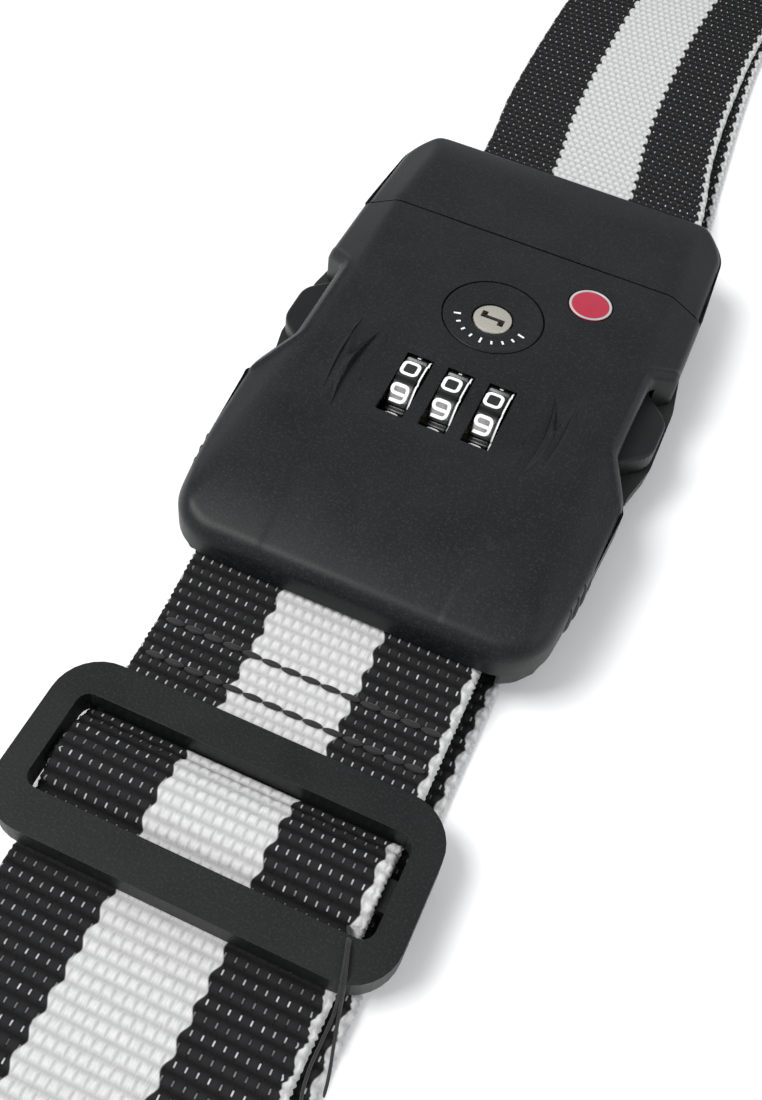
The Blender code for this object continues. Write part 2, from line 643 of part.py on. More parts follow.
def make_slider():
    near, far = SLIDER_Y
    low, high = SLIDER_Z
    width, open_near, open_far = SLIDER_OPENING
    half = SLIDER_WIDTH / 2

    def rounded(half_width, y_low, y_high, radius):
        return [(SLIDER_X - half_width, y_low, radius), (SLIDER_X + half_width, y_low, radius),
                (SLIDER_X + half_width, y_high, radius), (SLIDER_X - half_width, y_high, radius)]

    frame = prism("slider_frame", rounded(half, near, far, 7.5), low, high, 8, black_plastic,
                  origin=(SLIDER_X, (near + far) / 2, low))
    cut(frame, prism("slider_opening", rounded(width / 2, open_near, open_far, 2.0), low - 2, high + 2, 4,
                     collection=CUTTERS))
    bar_near, bar_far, bar_top = CENTRE_BAR
    join(frame, cutter_box("slider_centre_bar", (SLIDER_X - width / 2 - 1, bar_near, low + 0.1),
                           (SLIDER_X + width / 2 + 1, bar_far, bar_top)))
    soften(frame, 0.7)
    smooth(frame)


# ---- Webbing ----

def fold_points(bar, reach, x, segments=8):
    """Half a turn round a bar, from below it to above it; reach is -1 or +1, the side of the open ends."""
    y, z, radius = bar
    bend = radius + GAP + 0.2 + WEB_THICK / 2
    points = []
    for k in range(segments + 1):
        turn = math.pi * k / segments
        points.append(Vector((x, y - reach * bend * math.sin(turn), z - bend * math.cos(turn))))
    return points


def make_webbing():
    fold = fold_points(HOUSING_BAR, -1, LOWER_X)
    lower_ply = smooth_path([(LOWER_X, -76.6, 2.9), (LOWER_X, -68.0, 3.2), (LOWER_X, -58.0, 4.6),
                             (LOWER_X, -52.0, 4.6), tuple(fold[0])])
    upper_ply = smooth_path([tuple(fold[-1]), (LOWER_X, -51.0, 9.0), (LOWER_X, -58.0, 7.4), (LOWER_X, -68.0, 5.4),
                             (LOWER_X, -77.0, 4.9)])
    ribbon("webbing_sewn_end", lower_ply[:-1] + fold + upper_ply[1:])
    hump = smooth_path([(LOWER_X, -77.4, 4.1), (LOWER_X, -81.5, 3.8), (LOWER_X, -85.1, 4.3), (LOWER_X, -88.4, 7.2),
                        (LOWER_X, -92.5, 8.1), (LOWER_X, -96.6, 7.2), (LOWER_X, -99.9, 4.3),
                        (LOWER_X, -103.7, 3.8), (LOWER_X, -108.6, 3.6)], 5)
    ribbon("webbing_in_slider", hump, origin=(LOWER_X, -92.5, 5.0))
    bend = (3.4 - RETURN_Z) / 2
    turn_z = RETURN_Z + bend
    near_turn = []
    for k in range(11):
        turn = math.pi * k / 10
        x = LOWER_X + (RETURN_X - LOWER_X) * k / 10
        near_turn.append(Vector((x, NEAR_TURN_Y - bend * math.sin(turn), turn_z + bend * math.cos(turn))))
    lower = smooth_path([(LOWER_X, -109.2, 3.5), (LOWER_X, -116.0, 3.4), (LOWER_X, -135.0, 3.4),
                         tuple(near_turn[0])], 4)
    back = [Vector((RETURN_X, RETURN_END_Y - step, RETURN_Z)) for step in (160.0, 100.0, 50.0, 0.0)]
    ribbon("webbing_lower_and_return", lower[:-1] + near_turn + back)


def make_far_webbing():
    """The head's side of the strap: its folded end, the run to the roll, and the run beneath it."""
    fold = fold_points(HEAD_BAR, 1, UPPER_X)
    tail = [Vector((UPPER_X, 49.2, fold[0].z)), Vector((UPPER_X, 46.0, fold[0].z))]
    near_roll = ROLL_Y - 15.0
    run = smooth_path([tuple(fold[-1]), (UPPER_X, 48.0, 12.0), (UPPER_X, 57.0, 10.2), (UPPER_X, 75.0, 7.2),
                       (UPPER_X, 100.0, 4.3), (UPPER_X, 125.0, 3.0), (UPPER_X, 150.0, 2.8),
                       (UPPER_X, near_roll, 2.8)], 5)
    ribbon("webbing_upper_run", tail + fold + run[1:])
    ribbon("webbing_far_run", [Vector((RETURN_X, y, RETURN_Z)) for y in (RETURN_END_Y + 0.3, 110.0, near_roll + 4.0)])
    roll = cylinder("webbing_roll", (ROLL_X, ROLL_Y, ROLL_RADIUS), ROLL_RADIUS, WEB_WIDTH, "X", 72, striped_webbing)
    cut(roll, cutter_cylinder("roll_core", (ROLL_X, ROLL_Y, ROLL_RADIUS), ROLL_CORE, 60.0, "X", 32))
    smooth(roll)


def make_tie():
    half = WEB_WIDTH / 2 + GAP
    low = ROLL_RADIUS + 0.5
    high = 2 * ROLL_RADIUS + GAP
    outer = box("roll_tie", (ROLL_X - half - TIE_THICK, ROLL_Y - TIE_WIDTH / 2, low - TIE_THICK),
                (ROLL_X + half + TIE_THICK, ROLL_Y + TIE_WIDTH / 2, high + TIE_THICK), tie_elastic)
    cut(outer, cutter_box("tie_inside", (ROLL_X - half, ROLL_Y - 9, low), (ROLL_X + half, ROLL_Y + 9, high)))


def main():
    make_front_cover()
    make_back_cover()
    make_case_fittings()
    for number, x in enumerate(dial_places(), 1):
        make_dial(number, x)
    make_spindle()
    make_click_spring()
    make_key_lock()
    make_lock_bar()
    make_lock_bar_spring()
    make_reset_button()
    make_head()
    make_tongue()
    make_prong("left", -1)
    make_prong("right", 1)
    make_slider()
    make_webbing()
    make_far_webbing()
    make_tie()


main()
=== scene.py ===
"""Looks of the luggage strap: moulded buckle, dials, key lock, slider and woven striped webbing."""
import math

import bmesh
import bpy
import numpy as np
from mathutils import Matrix, Vector


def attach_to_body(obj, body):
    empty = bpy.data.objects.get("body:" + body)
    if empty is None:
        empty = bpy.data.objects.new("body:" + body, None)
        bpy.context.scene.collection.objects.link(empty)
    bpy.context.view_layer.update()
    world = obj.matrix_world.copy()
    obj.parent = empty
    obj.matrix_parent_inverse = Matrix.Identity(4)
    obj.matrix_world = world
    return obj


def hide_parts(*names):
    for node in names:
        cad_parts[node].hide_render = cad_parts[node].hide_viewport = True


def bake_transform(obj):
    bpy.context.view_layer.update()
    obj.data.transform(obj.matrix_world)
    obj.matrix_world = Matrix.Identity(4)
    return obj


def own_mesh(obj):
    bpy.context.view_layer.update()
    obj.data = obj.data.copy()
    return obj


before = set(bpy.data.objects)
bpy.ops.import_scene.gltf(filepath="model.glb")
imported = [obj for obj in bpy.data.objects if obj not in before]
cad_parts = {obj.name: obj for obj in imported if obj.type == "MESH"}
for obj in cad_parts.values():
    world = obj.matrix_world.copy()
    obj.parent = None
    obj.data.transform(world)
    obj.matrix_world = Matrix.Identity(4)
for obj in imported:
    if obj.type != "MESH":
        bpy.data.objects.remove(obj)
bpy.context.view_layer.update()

MM = 0.001

# Shared sizes, in millimetres
PANEL_Z = 19.8
BUCKLE_HALF = 35.0
NEAR_Y = -55.2
PARTING_Y = 31.0
DIAL_Y = -10.2
DIAL_Z = 11.5
DIAL_RADIUS = 8.4
DIAL_PITCH = 7.76
DIAL_WIDTH = 4.5
BORE_RADIUS = 1.75
FACET = 0.985             # height of a digit's flat, as a share of the wheel's radius
WINDOW = (5.1, 14.8)
WINDOW_Y = -13.4
KEY_Y = 9.3
BOTTOM_OF_COVERS = 10.15
CHANNEL_RADIUS = 60.0     # of the thumb channel across the dials
CHANNEL_DEPTH = 0.95
INLAY = (15.0, 21.0)
# near end of the housing's outline, as (x, y, radius)
NEAR_OUTLINE = [(BUCKLE_HALF - 3.4, NEAR_Y, 9.0), (BUCKLE_HALF - 1.1, -34.0, 25.0)]
# outline of the cut-away over each thumb pad, as (x, y, radius)
SCOOP = [(46.0, -24.0, 0.5), (34.9, -19.0, 6.0), (30.2, -10.0, 4.0), (30.6, 10.4, 2.0), (35.4, 14.4, 1.0),
         (46.0, 15.0, 0.5)]

# Webbing
WEB_WIDTH = 50.0
COLUMN = 1.65             # pitch of the weave across the strap
ROW = 2.15                # and along it
SHIFT = 0.45              # sideways step of every other row, in columns
STRIPE = 8.9              # half width of the pale stripe
SELVEDGE = 23.8           # start of the pale edge yarns, on the strap's right side
WEB_HALF_THICK = 0.36
BUMP = 0.55
THREAD_DIAMETER = 0.48


# ---- Camera, floor and light ----

def make_camera():
    right = Vector((0.91277, 0.39854, 0.08948))
    up = Vector((-0.37228, 0.72159, 0.58371))
    back = Vector((0.16807, -0.56611, 0.80702))
    data = bpy.data.cameras.new("camera")
    data.sensor_fit = "VERTICAL"
    data.sensor_height = 36.0
    data.lens = 39.54
    data.clip_start = 0.01
    data.clip_end = 10.0
    camera = bpy.data.objects.new("camera", data)
    bpy.context.scene.collection.objects.link(camera)
    matrix = Matrix((right, up, back)).transposed().to_4x4()
    matrix.translation = Vector((33.95, -153.05, 169.74)) * MM
    camera.matrix_world = matrix
    bpy.context.scene.camera = camera


def make_light(name, place, target, size, power, colour=(1.0, 1.0, 1.0)):
    data = bpy.data.lights.new(name, "AREA")
    data.shape = "RECTANGLE"
    data.size, data.size_y = size
    data.energy = power
    data.color = colour
    lamp = bpy.data.objects.new(name, data)
    lamp.location = place
    lamp.rotation_euler = (Vector(target) - Vector(place)).to_track_quat("-Z", "Y").to_euler()
    bpy.context.scene.collection.objects.link(lamp)


def make_stage():
    mesh_data = bmesh.new()
    bmesh.ops.create_grid(mesh_data, x_segments=8, y_segments=8, size=3.0)
    mesh = bpy.data.meshes.new("floor")
    mesh_data.to_mesh(mesh)
    mesh_data.free()
    floor = bpy.data.objects.new("floor", mesh)
    floor.location.z = -0.0003
    bpy.context.scene.collection.objects.link(floor)
    paper = Graph("floor_paper", roughness=0.8)
    tone = paper.noise(paper.position(), 3.0, 3.0)
    paper.colour(paper.mix(tone, (0.90, 0.90, 0.90), (0.93, 0.93, 0.93)))
    mesh.materials.append(paper.material)
    world = bpy.data.worlds.new("studio")
    world.use_nodes = True
    world.node_tree.nodes["Background"].inputs["Color"].default_value = (0.95, 0.97, 1.0, 1.0)
    world.node_tree.nodes["Background"].inputs["Strength"].default_value = 0.62
    bpy.context.scene.world = world
    bpy.context.scene.view_settings.view_transform = "Standard"
    make_light("key_light", (-0.5, -0.35, 0.9), (0, 0, 0), (0.5, 0.5), 11.5, (1.0, 0.99, 0.98))
    make_light("fill_light", (0.85, 0.1, 0.7), (0, 0, 0), (0.8, 0.8), 3.0)


# ---- Materials ----

def set_range(node, low, high, out_low, out_high):
    """Fills in a Map Range node."""
    for name, number in (("From Min", low), ("From Max", high), ("To Min", out_low), ("To Max", out_high)):
        node.inputs[name].default_value = number


class Wire:
    """A value in a material's node graph, with ordinary arithmetic."""

    def __init__(self, graph, socket):
        self.graph = graph
        self.socket = socket

    def run(self, operation, *others):
        node = self.graph.node("ShaderNodeMath")
        node.operation = operation
        for slot, value in enumerate((self,) + others):
            self.graph.feed(node.inputs[slot], value)
        return Wire(self.graph, node.outputs[0])

    def __add__(self, other):
        return self.run("ADD", other)

    def __sub__(self, other):
        return self.run("SUBTRACT", other)

    def __mul__(self, other):
        return self.run("MULTIPLY", other)

    def __truediv__(self, other):
        return self.run("DIVIDE", other)

    def abs(self):
        return self.run("ABSOLUTE")

    def floor(self):
        return self.run("FLOOR")

    def fract(self):
        return self.run("FRACT")

    def below(self, edge, soft):
        """1 well below the edge and 0 well above it."""
        node = self.graph.node("ShaderNodeMapRange")
        node.interpolation_type = "SMOOTHSTEP"
        self.graph.feed(node.inputs["Value"], self)
        set_range(node, edge - soft, edge + soft, 1.0, 0.0)
        return Wire(self.graph, node.outputs[0])


class Graph:
    """A Principled material with its nodes."""

    def __init__(self, name, roughness=0.5, metallic=0.0, **sockets):
        self.material = bpy.data.materials.new(name)
        self.material.use_nodes = True
        self.tree = self.material.node_tree
        self.shader = self.tree.nodes["Principled BSDF"]
        self.shader.inputs["Roughness"].default_value = roughness
        self.shader.inputs["Metallic"].default_value = metallic
        for key, value in sockets.items():
            self.shader.inputs[key.replace("_", " ").title()].default_value = value

    def node(self, kind):
        return self.tree.nodes.new(kind)

    def feed(self, socket, value):
        if isinstance(value, Wire):
            self.tree.links.new(value.socket, socket)
        elif isinstance(value, tuple):
            socket.default_value = (*value, 1.0) if len(value) < len(socket.default_value) else value
        else:
            socket.default_value = value

    def position(self, scale=(1.0, 1.0, 1.0)):
        """The point on the object, in metres."""
        place = self.node("ShaderNodeTexCoord").outputs["Object"]
        return self.scaled(Wire(self, place), scale)

    def scaled(self, vector, scale):
        node = self.node("ShaderNodeMapping")
        self.feed(node.inputs["Vector"], vector)
        node.inputs["Scale"].default_value = scale
        return Wire(self, node.outputs[0])

    def noise(self, vector, scale, detail=3.0, rough=0.55):
        node = self.node("ShaderNodeTexNoise")
        self.feed(node.inputs["Vector"], vector)
        node.inputs["Scale"].default_value = scale
        node.inputs["Detail"].default_value = detail
        node.inputs["Roughness"].default_value = rough
        return Wire(self, node.outputs[0])

    def mix(self, factor, low, high, blend="MIX"):
        node = self.node("ShaderNodeMix")
        node.data_type = "RGBA"
        node.blend_type = blend
        self.feed(node.inputs["Factor"], factor)
        self.feed(node.inputs[6], low)
        self.feed(node.inputs[7], high)
        return Wire(self, node.outputs[2])

    def ramp(self, value, low, high, out_low=0.0, out_high=1.0):
        node = self.node("ShaderNodeMapRange")
        self.feed(node.inputs["Value"], value)
        set_range(node, low, high, out_low, out_high)
        return Wire(self, node.outputs[0])

    def colour(self, value):
        self.feed(self.shader.inputs["Base Color"], value)

    def rough(self, value):
        self.feed(self.shader.inputs["Roughness"], value)

    def bump(self, height, distance, strength=1.0):
        node = self.node("ShaderNodeBump")
        node.inputs["Distance"].default_value = distance
        node.inputs["Strength"].default_value = strength
        self.feed(node.inputs["Height"], height)
        self.tree.links.new(node.outputs[0], self.shader.inputs["Normal"])


def plastic(name, dark, light, roughness=0.5, grain=2600.0, depth=0.00003, speckle=0.0):
    """Moulded plastic: faint mottling, a fine spark-eroded grain and small scuffs."""
    look = Graph(name, roughness=roughness)
    place = look.position()
    mottle = look.noise(place, 90.0, 4.0)
    fine = look.noise(place, grain, 2.0, 0.6)
    scuffs = look.noise(look.scaled(place, (1.0, 0.25, 1.0)), 420.0, 5.0, 0.7)
    marks = look.ramp(scuffs, 0.62, 0.78)
    tone = look.mix(look.ramp(mottle, 0.3, 0.7), dark, light)
    grains = look.ramp(fine, 0.52, 0.72)
    tone = look.mix(grains * speckle, tone, tuple(min(1.0, c * 3.0) for c in light))
    look.colour(look.mix(marks * 0.25, tone, tuple(min(1.0, c * 2.2) for c in light)))
    look.rough(look.ramp(fine + mottle * 0.6, 0.5, 1.2, roughness - 0.06, roughness + 0.12))
    look.bump(fine, depth, 0.6)
    return look.material


def metal(name, dark, light, roughness, turned=False):
    """Bare metal with fine machining or drawing lines."""
    look = Graph(name, roughness=roughness, metallic=1.0)
    place = look.position()
    lines = look.noise(look.scaled(place, (1.0, 12.0, 1.0) if not turned else (1.0, 1.0, 14.0)), 700.0, 4.0)
    tone = look.noise(place, 160.0, 3.0)
    look.colour(look.mix(tone, dark, light))
    look.rough(look.ramp(lines, 0.3, 0.7, roughness - 0.07, roughness + 0.12))
    look.bump(lines, 0.00002, 0.4)
    return look.material


def enamel(name, dark, light):
    look = Graph(name, roughness=0.3, coat_weight=0.3, coat_roughness=0.15)
    tone = look.noise(look.position(), 500.0, 3.0)
    look.colour(look.mix(tone, dark, light))
    look.bump(tone, 0.00003, 0.3)
    return look.material


def webbing_material(name):
    """Two-tone webbing. UV holds millimetres across and along the strap."""
    look = Graph(name, roughness=0.9)
    look.shader.inputs["Specular IOR Level"].default_value = 0.25
    uv = look.node("ShaderNodeUVMap")
    uv.uv_map = "weave"
    split = look.node("ShaderNodeSeparateXYZ")
    look.tree.links.new(uv.outputs[0], split.inputs[0])
    across = Wire(look, split.outputs[0])
    along = Wire(look, split.outputs[1])
    row = (along / ROW).floor()
    odd = (row * 0.5).fract() * 2.0
    column_place = across / COLUMN + odd * SHIFT
    in_column = (column_place.fract() - 0.5).abs()
    in_row = ((along / ROW).fract() - 0.5).abs()
    wave = (along / ROW * math.pi - math.pi / 2).run("SINE")
    scallop = wave * 0.42
    pale = (across.abs() + scallop).below(STRIPE, 0.16)
    selvedge = (across + scallop * 0.8).below(SELVEDGE, 0.15) * -1.0 + 1.0
    light_yarn = pale.run("MAXIMUM", selvedge)
    seam = in_column.below(0.43, 0.035) * -1.0 + 1.0
    loose = look.noise(look.scaled(Wire(look, uv.outputs[0]), (0.7, 0.5, 1.0)), 1.0, 2.0)
    fleck = in_row.below(0.17, 0.06) * seam
    fleck = fleck * (odd * -0.62 + 0.95) * look.ramp(loose, 0.32, 0.6, 0.3, 1.0)
    strands = look.noise(look.scaled(Wire(look, uv.outputs[0]), (7.0, 0.6, 1.0)), 1.0, 3.0, 0.6)
    hair = look.ramp(strands, 0.3, 0.7)
    # painted shade: the grooves between rows and columns of knobs are painted darker, the black yarn nearly to
    # black and the white yarn to grey
    painted_groove_shade = look.ramp(in_row, 0.16, 0.46).run("MAXIMUM", look.ramp(in_column, 0.24, 0.5))
    black = look.mix(hair, (0.006, 0.006, 0.0065), (0.016, 0.0165, 0.018))
    black = look.mix(painted_groove_shade, black, (0.0010, 0.0010, 0.0012))
    white = look.mix(hair, (0.48, 0.48, 0.48), (0.65, 0.65, 0.645))
    white = look.mix(painted_groove_shade * 0.5, white, (0.20, 0.20, 0.205))
    body = look.mix(light_yarn, black, white)
    body = look.mix(fleck * (light_yarn * -1.0 + 1.0), body, (0.50, 0.50, 0.51))
    look.colour(body)
    look.rough(look.ramp(strands, 0.3, 0.7, 0.75, 0.95))
    look.bump(strands, 0.00012, 0.7)
    return look.material


def thread_material(name, dark, light):
    look = Graph(name, roughness=0.75, sheen_weight=0.2)
    twist = look.noise(look.scaled(look.position(), (1.0, 3.0, 1.0)), 1500.0, 3.0)
    look.colour(look.mix(twist, dark, light))
    look.bump(twist, 0.0001, 0.8)
    return look.material


def elastic_material(name):
    look = Graph(name, roughness=0.85, sheen_weight=0.3)
    wave = look.node("ShaderNodeTexWave")
    look.feed(wave.inputs["Vector"], look.position())
    wave.inputs["Scale"].default_value = 320.0
    wave.bands_direction = "Z"
    lines = Wire(look, wave.outputs["Fac"])
    look.colour(look.mix(lines, (0.01, 0.01, 0.011), (0.05, 0.05, 0.052)))
    look.bump(lines, 0.00015, 0.8)
    return look.material


# ---- Mesh helpers, in millimetres ----

def mesh_object(name, verts, faces, materials, smooth_angle=40.0):
    mesh = bpy.data.meshes.new(name)
    mesh.from_pydata((np.asarray(verts, float) * MM).tolist(), [], faces)
    mesh.validate()
    return finish_mesh(name, mesh, materials, smooth_angle)


def finish_mesh(name, mesh, materials, smooth_angle=40.0):
    for look in materials:
        mesh.materials.append(look)
    mesh.shade_smooth()
    if smooth_angle:
        mesh.set_sharp_from_angle(angle=math.radians(smooth_angle))
    obj = bpy.data.objects.new(name, mesh)
    bpy.context.scene.collection.objects.link(obj)
    return obj


def bmesh_object(name, data, materials, smooth_angle=40.0):
    bmesh.ops.scale(data, vec=(MM, MM, MM), verts=data.verts)
    bmesh.ops.recalc_face_normals(data, faces=data.faces)
    mesh = bpy.data.meshes.new(name)
    data.to_mesh(mesh)
    data.free()
    return finish_mesh(name, mesh, materials, smooth_angle)


def skin(data, rings, closed=False):
    """Joins rings of vertices into a solid, with its ends capped or, if closed, joined to each other."""
    for lower, upper in zip(rings, rings[1:] + (rings[:1] if closed else [])):
        for k in range(len(lower)):
            after = (k + 1) % len(lower)
            data.faces.new((lower[k], lower[after], upper[after], upper[k]))
    if not closed:
        data.faces.new(rings[0][::-1])
        data.faces.new(rings[-1])


def rounded_loop(corners, segments=8):
    """Points of a closed outline, anticlockwise, from corners given as (x, y, radius)."""
    loop = []
    count = len(corners)
    for k, (x, y, radius) in enumerate(corners):
        here = Vector((x, y))
        before = (Vector(corners[k - 1][:2]) - here).normalized()
        after = (Vector(corners[(k + 1) % count][:2]) - here).normalized()
        half = before.angle(after) / 2
        centre = here + (before + after).normalized() * (radius / math.sin(half))
        start = here + before * (radius / math.tan(half)) - centre
        sweep = start.angle_signed(here + after * (radius / math.tan(half)) - centre)
        for step in range(segments + 1):
            turned = start.copy()
            turned.rotate(Matrix.Rotation(-sweep * step / segments, 2))
            loop.append(centre + turned)
    return np.array([tuple(p) for p in loop])


def mirrored(right_side):
    return right_side + [(-x, y, radius) for x, y, radius in reversed(right_side)]


def even_loop(loop, spacing):
    """A closed loop with points an even distance apart."""
    closed = np.vstack([loop, loop[:1]])
    steps = np.linalg.norm(np.diff(closed, axis=0), axis=1)
    walked = np.concatenate([[0.0], np.cumsum(steps)])
    count = max(8, int(round(walked[-1] / spacing)))
    places = np.linspace(0.0, walked[-1], count, endpoint=False)
    return np.stack([np.interp(places, walked, closed[:, k]) for k in (0, 1)], axis=1)


def loop_distance(points, loop):
    """Distance of each point from a closed loop."""
    start = loop
    along = np.roll(loop, -1, axis=0) - start
    length = (along ** 2).sum(1) + 1e-12
    best = np.full(len(points), 1e9)
    for a, d, l in zip(start, along, length):
        t = np.clip(((points - a) @ d) / l, 0.0, 1.0)
        away = points - a - t[:, None] * d
        best = np.minimum(best, (away ** 2).sum(1))
    return np.sqrt(best)


def step_up(low, high, value):
    t = np.clip((value - low) / (high - low), 0.0, 1.0)
    return t * t * (3 - 2 * t)


def relief_solid(name, loop, height, bottom, materials, spacing=0.45, centre=(0.0, 0.0)):
    """A solid whose top is a height over a star-shaped outline and whose sides and bottom are plain."""
    loop = even_loop(loop, spacing)
    count = len(loop)
    centre = np.array(centre)
    reach = np.linalg.norm(loop - centre, axis=1).max()
    edge = [0.0, 0.12, 0.28, 0.48, 0.72, 1.0, 1.35, 1.75, 2.2, 2.7, 3.2, 3.7, 4.2]
    rest = np.arange(4.75, reach - 0.6, 0.62)
    shares = [1 - d / reach for d in list(edge) + list(rest)]
    rings = [centre + (loop - centre) * share for share in shares]
    flat = np.vstack(rings + [centre[None]])
    top = height(flat)
    verts = [np.column_stack([loop, np.full(count, bottom)]),
             np.column_stack([loop, top[:count] * 0.45 + bottom * 0.55])]
    verts.append(np.column_stack([flat, top]))
    verts = np.vstack(verts)
    faces = []
    levels = 2 + len(rings)
    for level in range(levels - 1):
        base = level * count
        for k in range(count):
            after = (k + 1) % count
            faces.append((base + k, base + after, base + count + after, base + count + k))
    last = (levels - 1) * count
    tip = len(verts) - 1
    faces += [(last + k, last + (k + 1) % count, tip) for k in range(count)]
    faces.append(tuple(range(count - 1, -1, -1)))
    return mesh_object(name, verts, faces, materials, 0)


def cutter_mesh(name, kind, *args):
    data = bmesh.new()
    if kind == "box":
        low, high = args
        bmesh.ops.create_cube(data, size=1.0)
        bmesh.ops.scale(data, vec=[high[k] - low[k] for k in range(3)], verts=data.verts)
        bmesh.ops.translate(data, vec=[(high[k] + low[k]) / 2 for k in range(3)], verts=data.verts)
    else:
        centre, radius, length, axis = args
        bmesh.ops.create_cone(data, cap_ends=True, segments=64, radius1=radius, radius2=radius, depth=length)
        turn = {"Z": Matrix.Identity(4), "X": Matrix.Rotation(math.radians(90), 4, "Y"),
                "Y": Matrix.Rotation(math.radians(-90), 4, "X")}[axis]
        bmesh.ops.transform(data, matrix=Matrix.Translation(centre) @ turn, verts=data.verts)
    return bmesh_object(name, data, [], 0)


def carve(obj, tools, operation="DIFFERENCE", smooth_angle=38.0):
    """Applies Booleans to obj with temporary tools, given as lists of cutter_mesh arguments."""
    made = [cutter_mesh(f"tool_{k}", *tool) for k, tool in enumerate(tools)]
    for tool in made:
        modifier = obj.modifiers.new("cut", "BOOLEAN")
        modifier.object = tool
        modifier.operation = operation
        modifier.solver = "MANIFOLD"
    bake_modifiers(obj, smooth_angle)
    for tool in made:
        bpy.data.objects.remove(tool, do_unlink=True)
    return obj


def bake_modifiers(obj, smooth_angle=38.0):
    graph = bpy.context.evaluated_depsgraph_get()
    graph.update()
    mesh = bpy.data.meshes.new_from_object(obj.evaluated_get(graph), depsgraph=graph)
    obj.modifiers.clear()
    old = obj.data
    obj.data = mesh
    bpy.data.meshes.remove(old)
    mesh.name = obj.name
    mesh.shade_smooth()
    if smooth_angle:
        mesh.set_sharp_from_angle(angle=math.radians(smooth_angle))


def attach(obj, body, slot, *nodes):
    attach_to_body(obj, body)
    if nodes:
        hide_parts(*nodes)
    return obj


# ---- Covers ----

def dial_places():
    return [DIAL_PITCH * k for k in (-1, 0, 1)]


def soft_min(a, b, width):
    mix = np.clip(0.5 + 0.5 * (b - a) / width, 0.0, 1.0)
    return b + (a - b) * mix - width * mix * (1 - mix)


def rounding(distance, radius):
    """How far a fillet of that radius drops the surface at a distance from the edge."""
    inside = np.clip(radius - distance, 0.0, radius)
    return radius - np.sqrt(np.maximum(radius ** 2 - inside ** 2, 0.0))


def housing_loop():
    side = [(BUCKLE_HALF - 0.1, -19.4, 6.0), (30.2, -10.0, 4.0), (30.6, 10.4, 2.0), (BUCKLE_HALF, 14.1, 1.0),
            (BUCKLE_HALF, PARTING_Y - 0.15, 0.4)]
    return even_loop(rounded_loop(mirrored(NEAR_OUTLINE + side), 12), 0.3)


def half_width(y):
    """The housing's half width, without the cut-aways."""
    return BUCKLE_HALF - 1.1 * step_up(-8.0, -34.0, y) - 2.3 * step_up(-34.0, -55.0, y)


def housing_height(points):
    x = np.abs(points[:, 0])
    y = points[:, 1]
    plain = rounded_loop(mirrored(NEAR_OUTLINE + [(BUCKLE_HALF, -8.0, 25.0), (BUCKLE_HALF, 60.0, 0.4)]), 12)
    edge = loop_distance(points, plain)
    slope_x = 27.1 + 0.9 * step_up(5.0, 31.0, y)
    half_here = half_width(y)
    side = 16.1 + (half_here - x) * (PANEL_Z - 16.1) / (half_here - slope_x)
    near = PANEL_Z - 3.8 * (np.clip(-30.0 - y, 0.0, None) / 25.0) ** 2.2
    top = soft_min(near, side, 0.5 + 1.3 * step_up(0.0, -38.0, y))
    radius = 1.2 + 1.3 * step_up(-42.0, -53.0, y)
    top = top - rounding(edge, radius)
    # scoops over the thumb pads
    for sign in (-1, 1):
        away = loop_distance(points, rounded_loop([(sign * px, py, radius) for px, py, radius in SCOOP], 10))
        top = top - rounding(away, 0.9) + 0.3 * np.exp(-((away - 1.5) / 0.6) ** 2)
    # thumb channel over the dials, deepest along the wheels, with bowed outer creases
    from_windows = y - WINDOW_Y
    dip = CHANNEL_RADIUS - np.sqrt(CHANNEL_RADIUS ** 2 - np.clip(from_windows, -10.2, 10.2) ** 2)
    depth = np.clip(CHANNEL_DEPTH - np.clip(dip, 0.0, CHANNEL_DEPTH), 0.0, None)
    outer = 18.6 + from_windows / 11.0 * np.where(from_windows > 0, 2.4, 0.9)
    inside = 1 - step_up(outer - 0.35, outer + 0.35, x)
    ridge = np.exp(-((x - outer - 0.65) / 0.45) ** 2)
    ridge = ridge * step_up(-26.0, -19.0, y) * (1 - step_up(-7.0, -0.5, y))
    flat_band = step_up(15.0, 15.6, x)
    top = top - depth * inside * (1 - 0.5 * flat_band) + 0.3 * ridge
    lip = step_up(-25.0, -22.0, y) * (1 - step_up(-5.0, -2.5, y))
    top = top + 0.2 * np.exp(-((x - 15.3) / 0.3) ** 2) * lip
    return top


def make_front_cover(look):
    cover = relief_solid("front_cover_shell", housing_loop(), housing_height, BOTTOM_OF_COVERS, [look],
                         centre=(0.0, -12.0))
    half_x, half_y = WINDOW[0] / 2, WINDOW[1] / 2
    tools = [
        ("box", (-31.6, -43.0, 9.0), (31.6, PARTING_Y - 3.0, 14.8)),
        ("box", (-22.0, -27.0, 14.0), (22.0, 27.0, 18.0)),
        ("box", (-31.0, PARTING_Y - 5.0, 9.4), (31.0, PARTING_Y + 2.0, 14.8)),
        ("box", (-30.0, -51.0, 9.0), (30.0, -42.0, 11.4)),
        ("cylinder", (0.0, KEY_Y, PANEL_Z + 3.9), 9.5, 10.0, "Z"),
        ("cylinder", (0.0, KEY_Y, PANEL_Z), 6.1, 12.0, "Z"),
        ("cylinder", (*INLAY, PANEL_Z + 4.3), 4.3, 10.0, "Z")]
    tools += [("box", (x - half_x, WINDOW_Y - half_y, 9.5), (x + half_x, WINDOW_Y + half_y, 25.0))
              for x in dial_places()]
    tools += [("cylinder", (x, DIAL_Y, DIAL_Z), DIAL_RADIUS + 0.3, WINDOW[0] - 0.02, "X")
              for x in dial_places()]
    tools += [("box", (sign * 35.0 - 5.0, -8.8, 9.0), (sign * 35.0 + 5.0, 11.0, 14.8)) for sign in (-1, 1)]
    carve(cover, tools)
    attach(cover, "case", "cover_plastic", "front_cover")


